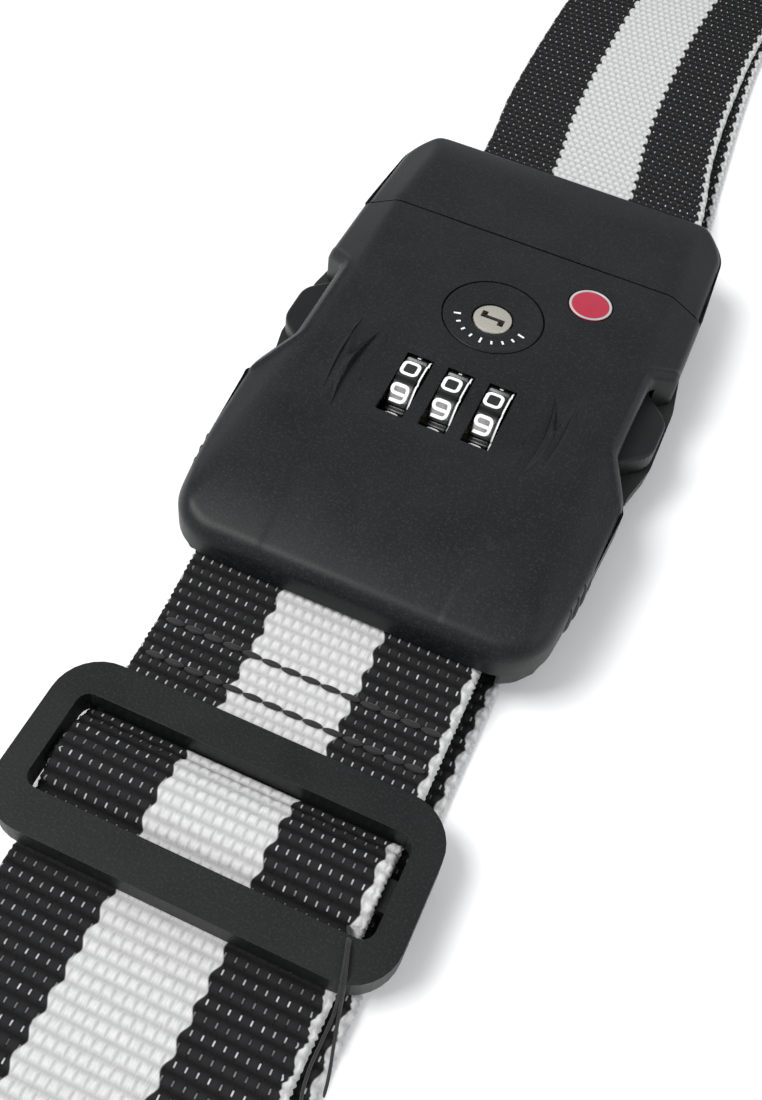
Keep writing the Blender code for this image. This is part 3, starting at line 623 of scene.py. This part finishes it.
def make_creases(look):
    """Lens-shaped ridges beside the dials, where the thumb channel ends."""
    # each ridge's two ends, bow, width and height, and the shape across it
    ridges = [(((16.6, -4.2), (16.9, -24.0)), 1.3, 1.9, 1.25), (((20.6, -1.5), (19.6, -21.5)), 0.6, 1.2, 0.5)]
    profile = [(-0.22, -0.9), (-0.16, 0.55), (0.0, 1.0), (0.25, 0.72), (0.62, 0.2), (1.0, -0.9)]
    count = 44
    data = bmesh.new()
    for sign in (-1, 1):
        for ends, bow, width, height in ridges:
            rings = []
            for k in range(count + 1):
                t = k / count
                x = ends[0][0] + (ends[1][0] - ends[0][0]) * t + bow * math.sin(math.pi * t)
                y = ends[0][1] + (ends[1][1] - ends[0][1]) * t
                swell = max(0.04, math.sin(math.pi * t)) ** 0.75
                ring = []
                for offset, rise in profile:
                    place = np.array([[sign * (x + offset * width * swell), y]])
                    level = float(housing_height(place)[0])
                    ring.append(data.verts.new((place[0, 0], y, level - 0.05 + rise * height * swell)))
                rings.append(ring[::-1] if sign < 0 else ring)
            skin(data, rings)
    creases = bmesh_object("thumb_channel_creases", data, [look], 60)
    attach(creases, "case", "cover_plastic")


def make_grip_ribs(look):
    """Short upright ribs along both sides of the case, below the thumb pads."""
    data = bmesh.new()
    for sign in (-1, 1):
        for k in range(8):
            y = -23.0 - 2.7 * k
            made = bmesh.ops.create_uvsphere(data, u_segments=14, v_segments=10, radius=1.0)["verts"]
            bmesh.ops.scale(data, vec=(0.75, 0.62, 3.6), verts=made)
            bmesh.ops.translate(data, vec=(sign * (half_width(y) - 0.45), y, 12.4), verts=made)
    ribs = bmesh_object("case_grip_ribs", data, [look], 0)
    attach(ribs, "case", "cover_plastic")


def head_loop():
    return rounded_loop(mirrored([(BUCKLE_HALF, PARTING_Y + 0.15, 0.4), (34.0, 57.0, 8.0)]), 14)


def head_height(points):
    x = np.abs(points[:, 0])
    y = points[:, 1]
    plain = rounded_loop(mirrored([(BUCKLE_HALF, 0.0, 0.4), (34.0, 57.0, 8.0)]), 14)
    edge = loop_distance(points, plain)
    half_here = BUCKLE_HALF - 1.0 * step_up(31.0, 57.0, y)
    side = 16.1 + (half_here - x) * (PANEL_Z - 16.1) / 7.0
    far = PANEL_Z - 1.5 * (np.clip(y - 47.0, 0.0, None) / 10.0) ** 2.0
    top = soft_min(far, side, 0.6)
    return top - rounding(edge, 1.2 + 0.6 * step_up(48.0, 56.0, y))


def make_head_cover(look):
    cover = relief_solid("head_front_shell", head_loop(), head_height, BOTTOM_OF_COVERS, [look],
                         centre=(0.0, 43.0))
    carve(cover, [
        ("box", (-30.0, PARTING_Y + 2.0, 9.0), (30.0, 50.0, 17.8)),
        ("box", (-31.0, 29.0, 9.4), (31.0, 38.0, 14.8)),
        ("box", (-25.0, 45.0, 7.6), (27.0, 62.0, 13.0))])
    attach(cover, "head", "cover_plastic", "head_front_cover")


# ---- Dials ----

def wheel_radius(turn):
    """Radius of the ten-sided, grooved wheel at an angle measured from a digit's middle."""
    step = math.tau / 10
    off = (turn + step / 2) % step - step / 2
    facet = DIAL_RADIUS * FACET / math.cos(off)
    radius = min(facet, DIAL_RADIUS)
    groove = max(0.0, 1.0 - abs(abs(off) - step / 2) / 0.052)
    return radius - 0.62 * groove ** 0.8


DIGIT_STROKES = {
    0: [[(-1, -1), (1, -1), (1, 1), (-1, 1), (-1, -1)]],
    1: [[(-0.5, 0.62), (0.15, 1), (0.15, -1)]],
    2: [[(-1, 0.5), (-1, 1), (1, 1), (1, 0.1), (-1, -0.35), (-1, -1), (1, -1)]],
    3: [[(-1, 0.7), (-1, 1), (1, 1), (1, 0.08), (-0.2, 0.08)], [(1, 0.0), (1, -1), (-1, -1), (-1, -0.65)]],
    4: [[(0.55, -1), (0.55, 1), (-1, -0.35), (1, -0.35)]],
    5: [[(0.95, 1), (-0.9, 1), (-0.9, 0.15), (1, 0.15), (1, -1), (-1, -1), (-1, -0.6)]],
    6: [[(0.9, 1), (-1, 1), (-1, -1), (1, -1), (1, 0.1), (-0.9, 0.1)]],
    7: [[(-1, 1), (1, 1), (1, 0.7), (-0.15, -1)]],
    8: [[(-0.85, 0.05), (-0.85, 1), (0.85, 1), (0.85, 0.05), (-0.85, 0.05)],
        [(-1, 0.05), (1, 0.05), (1, -1), (-1, -1), (-1, 0.05)]],
    9: [[(-0.9, -1), (1, -1), (1, 1), (-1, 1), (-1, -0.1), (0.9, -0.1)]],
}


def rounded_stroke(points, radius=0.62, segments=5):
    """A polyline with its corners rounded; a closed one repeats its first point at the end."""
    points = [Vector(p) for p in points]
    closed = (points[0] - points[-1]).length < 1e-6
    line = [] if closed else [points[0]]
    corners = range(len(points) - 1) if closed else range(1, len(points) - 1)
    for k in corners:
        here = points[k]
        before = points[k - 1] if k > 0 else points[-2]
        after = points[k + 1]
        reach = min(radius, (before - here).length / 2, (after - here).length / 2)
        a = here + (before - here).normalized() * reach
        b = here + (after - here).normalized() * reach
        for step in range(segments + 1):
            t = step / segments
            line.append(a * (1 - t) ** 2 + here * 2 * t * (1 - t) + b * t * t)
    line.append(line[0].copy() if closed else points[-1])
    return line, closed


def digit_solids(data, value, width=2.75, height=2.85, stroke=0.62):
    """Adds a digit's strokes as thin raised strips, lying in the XY plane."""
    for points in DIGIT_STROKES[value]:
        line, closed = rounded_stroke(points)
        line = [Vector((p.x * width / 2, p.y * height / 2)) for p in line]
        rings = []
        last = len(line) - 1
        for k, here in enumerate(line):
            if closed:
                before, after = line[k - 1 if k > 0 else last - 1], line[k + 1 if k < last else 1]
            else:
                before, after = line[max(k - 1, 0)], line[min(k + 1, last)]
            side = Vector((-(after - before).y, (after - before).x)).normalized() * stroke / 2
            ring = []
            for offset, z in ((-side, -0.3), (side, -0.3), (side, 0.04), (side * 0.82, 0.09),
                              (-side * 0.82, 0.09), (-side, 0.04)):
                ring.append(data.verts.new((here.x + offset.x, here.y + offset.y, z)))
            rings.append(ring)
        if closed:
            for vert in rings.pop():
                data.verts.remove(vert)
        skin(data, rings, closed)


def make_dial(number, x, black, white):
    step = math.tau / 10
    first = math.radians(1.0)
    count = 240
    half = DIAL_WIDTH / 2
    # across the wheel, and how far each place lies below its radius; the pale line at the right is a painted
    # highlight on the rim
    stations = [(-half, 0.45), (-half + 0.12, 0.16), (-half + 0.4, 0.0), (half - 0.75, 0.0),
                (half - 0.72, 0.3), (half - 0.42, 0.3), (half - 0.38, 0.02), (half - 0.1, 0.06), (half, 0.3)]
    rings = []
    for offset, drop in stations:
        ring = []
        for k in range(count):
            turn = math.tau * k / count
            radius = wheel_radius(turn - first) - drop
            ring.append((x + offset, DIAL_Y + radius * math.sin(turn), DIAL_Z + radius * math.cos(turn)))
        rings.append(ring)
    bore = [[(x + side, DIAL_Y + BORE_RADIUS * math.sin(math.tau * k / count),
              DIAL_Z + BORE_RADIUS * math.cos(math.tau * k / count))
             for k in range(count)] for side in (half, -half)]
    rings += bore
    verts = [v for ring in rings for v in ring]
    faces = []
    levels = len(rings)
    for level in range(levels):
        base, over = level * count, ((level + 1) % levels) * count
        for k in range(count):
            after = (k + 1) % count
            faces.append((base + k, base + after, over + after, over + k))
    wheel = mesh_object(f"dial_{number}_wheel", verts, faces, [black, white], 35)
    # painted highlight: the faces along the wheel's right rim take the digits' white, standing in for light
    # caught on the rim's edge
    pale = set(range(6 * count, 7 * count))
    for index in pale:
        wheel.data.polygons[index].material_index = 1
    attach(wheel, f"dial_{number}", "dial_plastic", f"dial_wheel_{number}")
    data = bmesh.new()
    for value in range(10):
        before = set(data.verts)
        digit_solids(data, value)
        fresh = [v for v in data.verts if v not in before]
        turn = first + step * value
        # the digit's own up is towards lower values on the wheel's far side
        basis = Matrix.Rotation(-turn, 4, "X")
        out = Matrix.Translation((0.0, 0.0, DIAL_RADIUS * FACET))
        lift = Matrix.Translation((x - 0.42, DIAL_Y, DIAL_Z)) @ basis @ out
        bmesh.ops.transform(data, matrix=lift, verts=fresh)
    digits = bmesh_object(f"dial_{number}_digits", data, [white], 30)
    attach(digits, f"dial_{number}", "dial_plastic")


# ---- Key lock, inlay and small fittings ----

def turned_part(name, profile, centre, look, segments=96, smooth_angle=35.0):
    """A solid of revolution about Z from (radius, z) points; one that ends at radius 0 is closed there."""
    verts, faces = [], []
    rings = []
    for radius, z in profile:
        if radius < 1e-6:
            verts.append((centre[0], centre[1], z))
            rings.append([len(verts) - 1])
            continue
        start = len(verts)
        verts += [(centre[0] + radius * math.cos(math.tau * k / segments),
                   centre[1] + radius * math.sin(math.tau * k / segments), z) for k in range(segments)]
        rings.append(list(range(start, start + segments)))
    closed = profile[0][0] > 1e-6
    pairs = list(zip(rings, rings[1:]))
    if closed:
        pairs.append((rings[-1], rings[0]))
    for lower, upper in pairs:
        for k in range(segments):
            after = (k + 1) % segments
            if len(lower) == 1:
                faces.append((lower[0], upper[after], upper[k]))
            elif len(upper) == 1:
                faces.append((lower[k], lower[after], upper[0]))
            else:
                faces.append((lower[k], lower[after], upper[after], upper[k]))
    obj = mesh_object(name, verts, faces, [look], 0)
    data = bmesh.new()
    data.from_mesh(obj.data)
    bmesh.ops.recalc_face_normals(data, faces=data.faces)
    data.to_mesh(obj.data)
    data.free()
    obj.data.shade_smooth()
    obj.data.set_sharp_from_angle(angle=math.radians(smooth_angle))
    return obj


def make_key_lock(cover, nickel, white):
    top = PANEL_Z
    dish = turned_part("key_dish", [
        (3.95, top - 0.9), (3.95, top - 0.62), (4.25, top - 0.50), (5.2, top - 0.47), (7.2, top - 0.32),
        (8.2, top - 0.14), (8.7, top + 0.0), (9.05, top + 0.0), (9.2, top - 0.15), (9.2, top - 0.9)],
        (0.0, KEY_Y), cover)
    attach(dish, "case", "cover_plastic", "key_surround")
    plug = turned_part("key_plug_face", [
        (0.0, 9.8), (3.4, 9.8), (3.65, 10.05), (3.65, top - 0.85), (3.5, top - 0.62), (3.2, top - 0.52),
        (0.0, top - 0.5)], (0.0, KEY_Y), nickel)
    carve(plug, [("box", (-2.0, KEY_Y - 0.4, 14.0), (2.0, KEY_Y + 0.4, 25.0)),
                 ("box", (-2.3, KEY_Y - 0.4, 14.0), (-1.2, KEY_Y + 1.3, 25.0)),
                 ("box", (1.2, KEY_Y - 1.3, 14.0), (2.3, KEY_Y + 0.4, 25.0))], smooth_angle=30.0)
    attach(plug, "key", "nickel", "key_plug")
    data = bmesh.new()
    for k in range(9):
        turn = math.radians(198.0 + 18.0 * k)
        long = 1.3 if k % 4 == 0 else 0.8
        made = bmesh.ops.create_cube(data, size=1.0)["verts"]
        bmesh.ops.scale(data, vec=(long, 0.34, 0.3), verts=made)
        bmesh.ops.translate(data, vec=(6.5, 0.0, top - 0.42), verts=made)
        bmesh.ops.rotate(data, cent=(0, 0, 0), matrix=Matrix.Rotation(turn, 3, "Z"), verts=made)
        bmesh.ops.translate(data, vec=(0.0, KEY_Y, 0.0), verts=made)
    ticks = bmesh_object("key_ticks", data, [white], 30)
    attach(ticks, "case", "cover_plastic")


def make_inlay(red, pale):
    top = PANEL_Z
    inlay = turned_part("inlay_face", [
        (0.0, top - 0.4), (3.9, top - 0.4), (4.0, top - 0.3), (4.0, top + 0.02), (3.9, top + 0.12),
        (3.62, top + 0.12), (3.52, top + 0.02), (3.3, top + 0.05), (0.0, top + 0.08)], INLAY, red)
    inlay.data.materials.append(pale)
    for face in inlay.data.polygons:
        radius = math.hypot(face.center.x / MM - INLAY[0], face.center.y / MM - INLAY[1])
        if radius > 3.45 and face.center.z / MM > top - 0.1:
            face.material_index = 1
    attach(inlay, "case", "red_enamel", "indicator_inlay")


# ---- Webbing ----

def smooth_path(points, spacing):
    """A Catmull-Rom curve through points, resampled evenly."""
    points = np.array(points, float)
    padded = np.vstack([2 * points[0] - points[1], points, 2 * points[-1] - points[-2]])
    dense = []
    for k in range(1, len(padded) - 2):
        a, b, c, d = padded[k - 1:k + 3]
        for t in np.linspace(0, 1, 24, endpoint=False):
            dense.append(0.5 * (2 * b + (c - a) * t + (2 * a - 5 * b + 4 * c - d) * t * t
                                + (3 * b - a - 3 * c + d) * t ** 3))
    dense.append(points[-1])
    return even_path(np.array(dense), spacing)


def even_path(path, spacing):
    walked = np.concatenate([[0.0], np.cumsum(np.linalg.norm(np.diff(path, axis=0), axis=1))])
    count = max(3, int(round(walked[-1] / spacing)) + 1)
    places = np.linspace(0.0, walked[-1], count)
    return np.stack([np.interp(places, walked, path[:, k]) for k in range(3)], axis=1)


def weave_height(across, along):
    """Height of the woven knobs, 0 to 1: rounded, slightly three-cornered bricks whose rows step sideways."""
    row = np.floor(along / ROW)
    odd = np.mod(row, 2.0)
    in_row = (along / ROW - row - 0.5) * 2
    u = across / COLUMN + odd * SHIFT
    in_column = np.abs(u - np.floor(u) - 0.5) * 2
    narrowed = in_column * (1.06 + 0.16 * in_row)
    crown = np.clip(1 - narrowed ** 2.4, 0, 1) ** 0.6
    swell = np.clip(1 - (np.abs(in_row) / 0.93) ** 2.4, 0, 1) ** 0.6 * (1 + 0.15 * in_row)
    fleck = np.clip(1 - ((1 - in_column) / 0.28) ** 2, 0, 1) * np.clip(1 - (in_row / 0.42) ** 2, 0, 1) * 0.7
    return np.maximum(crown * swell, fleck)


def ribbon(name, path, look, start=0.0, fine=0.36, woven=1.0, half=WEB_HALF_THICK, width=WEB_WIDTH, coarse=1.0):
    """Webbing laid along a path, and its length; one side has the fine spacing and the other the coarse."""
    walked = np.concatenate([[0.0], np.cumsum(np.linalg.norm(np.diff(path, axis=0), axis=1))])
    along = walked + start
    tangent = np.gradient(path, axis=0)
    tangent[:, 0] = 0.0
    tangent /= np.linalg.norm(tangent, axis=1)[:, None]
    normal = np.stack([np.zeros(len(path)), -tangent[:, 2], tangent[:, 1]], axis=1)
    edge = width / 2
    border = np.array([0.0, 0.05, 0.16, 0.34, 0.6])
    inner = np.linspace(-edge + 0.9, edge - 0.9, int(round((width - 1.8) / fine)) + 1)
    top = np.concatenate([-edge + border, inner, edge - border[::-1]])
    inner_low = np.linspace(edge - 0.9, -edge + 0.9, int(round((width - 1.8) / coarse)) + 1)
    low = np.concatenate([(edge - border)[1:], inner_low, (-edge + border[::-1])[:-1]])
    across = np.concatenate([top, low])
    sign = np.concatenate([np.ones(len(top)), -np.ones(len(low))])
    from_edge = np.clip((edge - np.abs(across)) / 0.6, 0.0, 1.0)
    thick = half * np.sqrt(np.clip(1 - (1 - from_edge) ** 2, 0.0, 1.0))
    grid_across, grid_along = np.meshgrid(across, along)
    bumps = weave_height(grid_across, grid_along)
    height = (thick[None] + woven * BUMP * bumps * from_edge[None] ** 0.5) * sign[None]
    loops = 0.16 * woven * np.cos(grid_along / ROW * math.tau * 2)
    loops = loops * (np.abs(grid_across) > edge - 1.2) * np.sign(grid_across)
    sideways = grid_across + loops
    verts = path[:, None, :] + normal[:, None, :] * height[..., None]
    verts[..., 0] = path[:, None, 0] + sideways
    count = len(across)
    rings = len(path)
    index = np.arange(rings * count).reshape(rings, count)
    quads = np.stack([index[:-1], np.roll(index, -1, 1)[:-1], np.roll(index, -1, 1)[1:], index[1:]], axis=-1)
    faces = quads.reshape(-1, 4).tolist()
    faces.append(index[0][::-1].tolist())
    faces.append(index[-1].tolist())
    obj = mesh_object(name, verts.reshape(-1, 3), faces, [look], 0)
    layer = obj.data.uv_layers.new(name="weave")
    flat = np.stack([grid_across, grid_along], axis=-1).reshape(-1, 2)
    corners = np.empty(len(obj.data.loops), np.int32)
    obj.data.loops.foreach_get("vertex_index", corners)
    layer.data.foreach_set("uv", flat[corners].astype(np.float32).ravel())
    return obj, float(walked[-1])


def half_turn(centre, radius, from_angle, to_angle, x, steps=24):
    """Points round an arc in the YZ plane; angle 0 is +Y and 90 is up."""
    angles = np.radians(np.linspace(from_angle, to_angle, steps + 1))
    return [(x, centre[0] + radius * math.cos(a), centre[1] + radius * math.sin(a)) for a in angles]


def make_webbing(look):
    low = -1.5
    # the sewn end's tail, over the housing bar, back beneath, to the near turn and back along the floor
    upper = [(low, -77.0, 4.95), (low, -72.0, 5.15), (low, -65.5, 5.7), (low, -58.0, 7.4), (low, -51.0, 9.0)]
    round_bar = half_turn((-46.0, 6.7), 2.6, 90.0, -90.0, low)
    lower = [(low, -50.5, 4.4), (low, -58.0, 4.3), (low, -66.0, 3.7), (low, -75.0, 3.25), (low, -90.0, 3.25),
             (low, -110.0, 3.35), (low, -120.0, 3.4), (low, -135.0, 3.4)]
    near_turn = half_turn((-148.0, 2.1), 1.3, 90.0, 270.0, low)
    turn = [(low + 3.2 * k / 24, y, z) for k, (_, y, z) in enumerate(near_turn)]
    back = [(1.7, -140.0, 0.85), (1.7, -110.0, 0.85), (1.7, -60.0, 0.85), (2.2, -20.0, 0.85)]
    path = smooth_path(upper + round_bar + lower + turn + back, 0.5)
    case_side, length = ribbon("webbing_case_side", path, look, start=4.0 * ROW, fine=0.4, coarse=2.0)
    attach(case_side, "case", "striped_webbing", "webbing_sewn_end", "webbing_lower_and_return")
    onward = smooth_path([(2.2, -20.0, 0.85), (3.2, 30.0, 0.85), (4.4, 72.0, 0.85), (2.6, 95.0, 0.85),
                          (0.2, 128.0, 0.85), (-0.8, 155.0, 0.85), (0.6, 190.0, 0.85),
                          (1.3, 212.9, 0.85)], 0.62)
    return_run, length = ribbon("webbing_return_run", onward, look, start=4.0 * ROW + 300.0, fine=0.41,
                                coarse=1.6)
    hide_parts("webbing_far_run")
    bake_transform(return_run)
    hump = smooth_path([(low, -84.5, 5.0), (low, -86.0, 5.5), (low, -88.6, 7.2), (low, -92.5, 8.05),
                        (low, -96.4, 7.2), (low, -99.0, 5.5), (low, -100.4, 5.0)], 0.4)
    raised, length = ribbon("webbing_in_slider_loop", hump + np.array((-0.5, 0.0, 0.0)), look, start=20.0 * ROW,
                            width=51.4)
    attach(raised, "slider", "striped_webbing", "webbing_in_slider")
    # the head's own run, from its tail inside the head, over the bar and down to the roll
    tail = [(1.0, 49.4, 7.2), (1.0, 46.5, 7.2)]
    over = half_turn((43.6, 10.0), 2.8, 270.0, 90.0, 1.0)
    run = [(1.2, 48.0, 12.05), (2.4, 57.0, 10.3), (2.5, 66.0, 8.6), (1.2, 80.0, 6.6), (-1.0, 96.0, 4.8),
           (-2.3, 114.0, 3.5),
           (-2.9, 132.0, 2.9), (-3.0, 150.0, 2.7), (-2.0, 170.0, 2.7), (0.4, 195.0, 2.65), (1.3, 212.9, 2.65)]
    path = smooth_path(tail + over + run, 0.5)
    upper_run, length = ribbon("webbing_head_run", path, look, start=2.0 * ROW)
    attach(upper_run, "head", "striped_webbing", "webbing_upper_run")


def make_roll(look, elastic):
    """The stored length: both runs wound in together round a small core."""
    centre_y, centre_z = 213.0, 27.0
    pitch = 3.42
    turns = 5.35

    def spiral(offset, from_turn, to_turn, spacing):
        count = max(8, int(math.tau * 18 * abs(to_turn - from_turn) / spacing))
        points = []
        for k in range(count + 1):
            turned = from_turn + (to_turn - from_turn) * k / count
            radius = 26.15 - offset - pitch * turned
            angle = -math.pi / 2 + math.tau * turned
            points.append((1.3, centre_y + radius * math.cos(angle), centre_z + radius * math.sin(angle)))
        return points

    outer_fine = np.array(spiral(0.0, 0.0, 1.0, 0.4))
    outer = np.array(spiral(0.0, 1.0, turns, 1.4))
    inner = np.array(spiral(1.71, turns, 0.0, 1.4))
    # the fold at the core
    a, b = outer[-1], inner[0]
    middle = (a + b) / 2
    heading = (outer[-1] - outer[-2])
    heading /= np.linalg.norm(heading)
    fold = [middle + (a - middle) * math.cos(t) + heading * np.linalg.norm(a - middle) * math.sin(t)
            for t in np.linspace(0.0, math.pi, 9)[1:-1]]
    coarse = np.vstack([outer[1:], fold, inner])
    path = np.vstack([even_path(outer_fine, 0.62), coarse])
    roll, length = ribbon("webbing_rolled", path, look, start=0.0, fine=1.0, coarse=3.0, woven=0.6)
    attach(roll, "head", "striped_webbing", "webbing_roll")
    loop = rounded_loop([(-26.3, 26.6, 1.2), (28.9, 26.6, 1.2), (28.9, 55.0, 1.2), (-26.3, 55.0, 1.2)], 6)
    data = bmesh.new()
    rings = []
    for offset, y in ((0.0, -3.5), (0.0, 3.5), (0.9, 3.5), (0.9, -3.5)):
        middle = loop.mean(0)
        grown = loop + np.sign(loop - middle) * offset
        rings.append([data.verts.new((p[0], centre_y + y, p[1])) for p in grown])
    skin(data, rings, closed=True)
    tie = bmesh_object("roll_tie_band", data, [elastic], 30)
    attach(tie, "head", "tie_elastic", "roll_tie")


def tube(data, path, radius, sides=8, outward=None):
    """Adds a round tube along a path of points; outward holds a sideways direction for each, if given."""
    path = [Vector(p) for p in path]
    rings = []
    for k, here in enumerate(path):
        heading = (path[min(k + 1, len(path) - 1)] - path[max(k - 1, 0)]).normalized()
        side = Vector(outward[k]) if outward else heading.cross(Vector((0.0, 0.0, 1.0))).normalized()
        over = side.cross(heading)
        thin = radius * (0.6 if k in (0, len(path) - 1) else 1.0)
        turns = [math.tau * n / sides for n in range(sides)]
        rings.append([data.verts.new(here + (side * math.cos(a) + over * math.sin(a)) * thin) for a in turns])
    skin(data, rings)


def make_lock_spring(look):
    """The coil spring behind the lock bar, built at one fixed length."""
    turns, length, start, radius, centre_z = 5, 10.5, KEY_Y + 6.1, 1.6, 6.2
    path, outward = [], []
    for k in range(turns * 24 + 1):
        turn = math.tau * k / 24
        outward.append((math.cos(turn), 0.0, math.sin(turn)))
        path.append((radius * math.cos(turn), start + length * k / (turns * 24),
                     centre_z + radius * math.sin(turn)))
    data = bmesh.new()
    tube(data, path, 0.3, 10, outward)
    spring = bmesh_object("lock_spring_coil", data, [look], 60)
    attach(spring, "case", "steel", "lock_bar_spring")
    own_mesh(spring)


def make_thread_tails(look):
    """Two short ends of sewing thread that hang out of the slider's corner, over its near rail."""
    tails = [
        [(21.6, -98.6, 6.3), (22.4, -100.4, 8.0), (22.6, -101.6, 9.9), (23.1, -103.4, 10.5),
         (24.0, -106.0, 10.1), (24.5, -107.6, 8.0), (25.0, -109.5, 5.3), (25.8, -112.6, 4.75),
         (26.9, -116.6, 4.8), (27.4, -119.3, 4.9)],
        [(21.2, -98.4, 6.3), (22.0, -100.3, 8.0), (22.3, -101.5, 9.9), (22.9, -103.5, 10.5),
         (23.6, -106.1, 10.1), (24.0, -107.7, 8.0), (24.3, -109.5, 5.3), (24.3, -113.0, 4.75),
         (24.3, -117.0, 4.8), (25.0, -121.0, 4.8),
         (26.6, -124.0, 4.9)]]
    for name, points in zip(("slider_thread_tail_short", "slider_thread_tail_long"), tails):
        path = smooth_path(points, 0.6)
        data = bmesh.new()
        tube(data, path, THREAD_DIAMETER / 2)
        tail = bmesh_object(name, data, [look], 50)
        attach(tail, "slider", "striped_webbing")


def make_stitches(look):
    """Two rows of stitching across the sewn end."""
    data = bmesh.new()
    for y, z in ((-66.3, 6.48), (-72.7, 6.02)):
        for k in range(14):
            x = -1.5 - 21.9 + 3.37 * k
            made = bmesh.ops.create_uvsphere(data, u_segments=16, v_segments=8, radius=1.0)["verts"]
            bmesh.ops.scale(data, vec=(1.66, 0.52, 0.36), verts=made)
            slant = Matrix.Rotation(math.radians(3), 3, "Z")
            bmesh.ops.rotate(data, cent=(0, 0, 0), matrix=slant, verts=made)
            bmesh.ops.translate(data, vec=(x, y, z + 0.02), verts=made)
    stitches = bmesh_object("sewn_end_stitches", data, [look], 0)
    attach(stitches, "case", "striped_webbing")


def dress_nodes(looks):
    """Gives every CAD node that stays in view its own material."""
    for name, look in looks.items():
        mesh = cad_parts[name].data
        mesh.materials.clear()
        mesh.materials.append(look)


def main():
    make_camera()
    make_stage()
    cover = plastic("cover_plastic", (0.0050, 0.0058, 0.0062), (0.0085, 0.0095, 0.0100), 0.42, speckle=0.55)
    slider = plastic("slider_plastic", (0.0050, 0.0055, 0.0055), (0.0085, 0.0090, 0.0092), 0.45, speckle=0.5)
    olive = plastic("back_shell_plastic", (0.014, 0.016, 0.0145), (0.020, 0.022, 0.020), 0.5)
    pad = plastic("pad_plastic", (0.006, 0.007, 0.007), (0.010, 0.011, 0.011), 0.4)
    dial_black = plastic("dial_black", (0.004, 0.0045, 0.0045), (0.008, 0.009, 0.009), 0.3)
    digit_white = plastic("digit_white", (0.78, 0.79, 0.78), (0.88, 0.89, 0.88), 0.45, 1800.0, 0.00001)
    for look in (cover, slider, olive, pad):
        look.node_tree.nodes["Principled BSDF"].inputs["Specular IOR Level"].default_value = 0.22
    pale = plastic("pale_rim", (0.36, 0.36, 0.37), (0.5, 0.5, 0.51), 0.4)
    nickel = metal("nickel", (0.62, 0.58, 0.50), (0.80, 0.76, 0.67), 0.3)
    brass = metal("brass", (0.62, 0.46, 0.22), (0.78, 0.6, 0.32), 0.3)
    bronze = metal("dark_bronze", (0.05, 0.042, 0.03), (0.09, 0.072, 0.048), 0.45)
    steel = metal("steel", (0.45, 0.46, 0.48), (0.62, 0.63, 0.65), 0.34)
    red = enamel("red_enamel", (0.30, 0.006, 0.028), (0.40, 0.012, 0.040))
    weave = webbing_material("striped_webbing")
    thread = thread_material("black_thread", (0.002, 0.002, 0.0022), (0.008, 0.008, 0.009))
    elastic = elastic_material("tie_elastic")

    make_front_cover(cover)
    make_creases(cover)
    make_grip_ribs(cover)
    make_head_cover(cover)
    for number, x in enumerate(dial_places(), 1):
        make_dial(number, x, dial_black, digit_white)
    make_key_lock(cover, nickel, digit_white)
    make_inlay(red, pale)
    make_webbing(weave)
    make_roll(weave, elastic)
    make_stitches(thread)
    make_thread_tails(thread)
    make_lock_spring(steel)

    looks = {"back_cover": olive, "head_back_cover": olive, "slider_frame": slider, "prong_left": pad,
             "prong_right": pad, "plug_tongue": pad, "lock_bar": steel,
             "click_spring": steel, "dial_spindle": steel, "housing_strap_bar": steel, "head_strap_bar": steel,
             "key_cam": brass, "key_barrel": brass, "reset_button": nickel}
    for k in (1, 2, 3, 4):
        looks[f"case_screw_{k}"] = steel
    for k in (1, 2):
        looks[f"head_screw_{k}"] = steel
    for k in (1, 2, 3):
        looks[f"cam_sleeve_{k}"] = bronze
    dress_nodes(looks)


main()
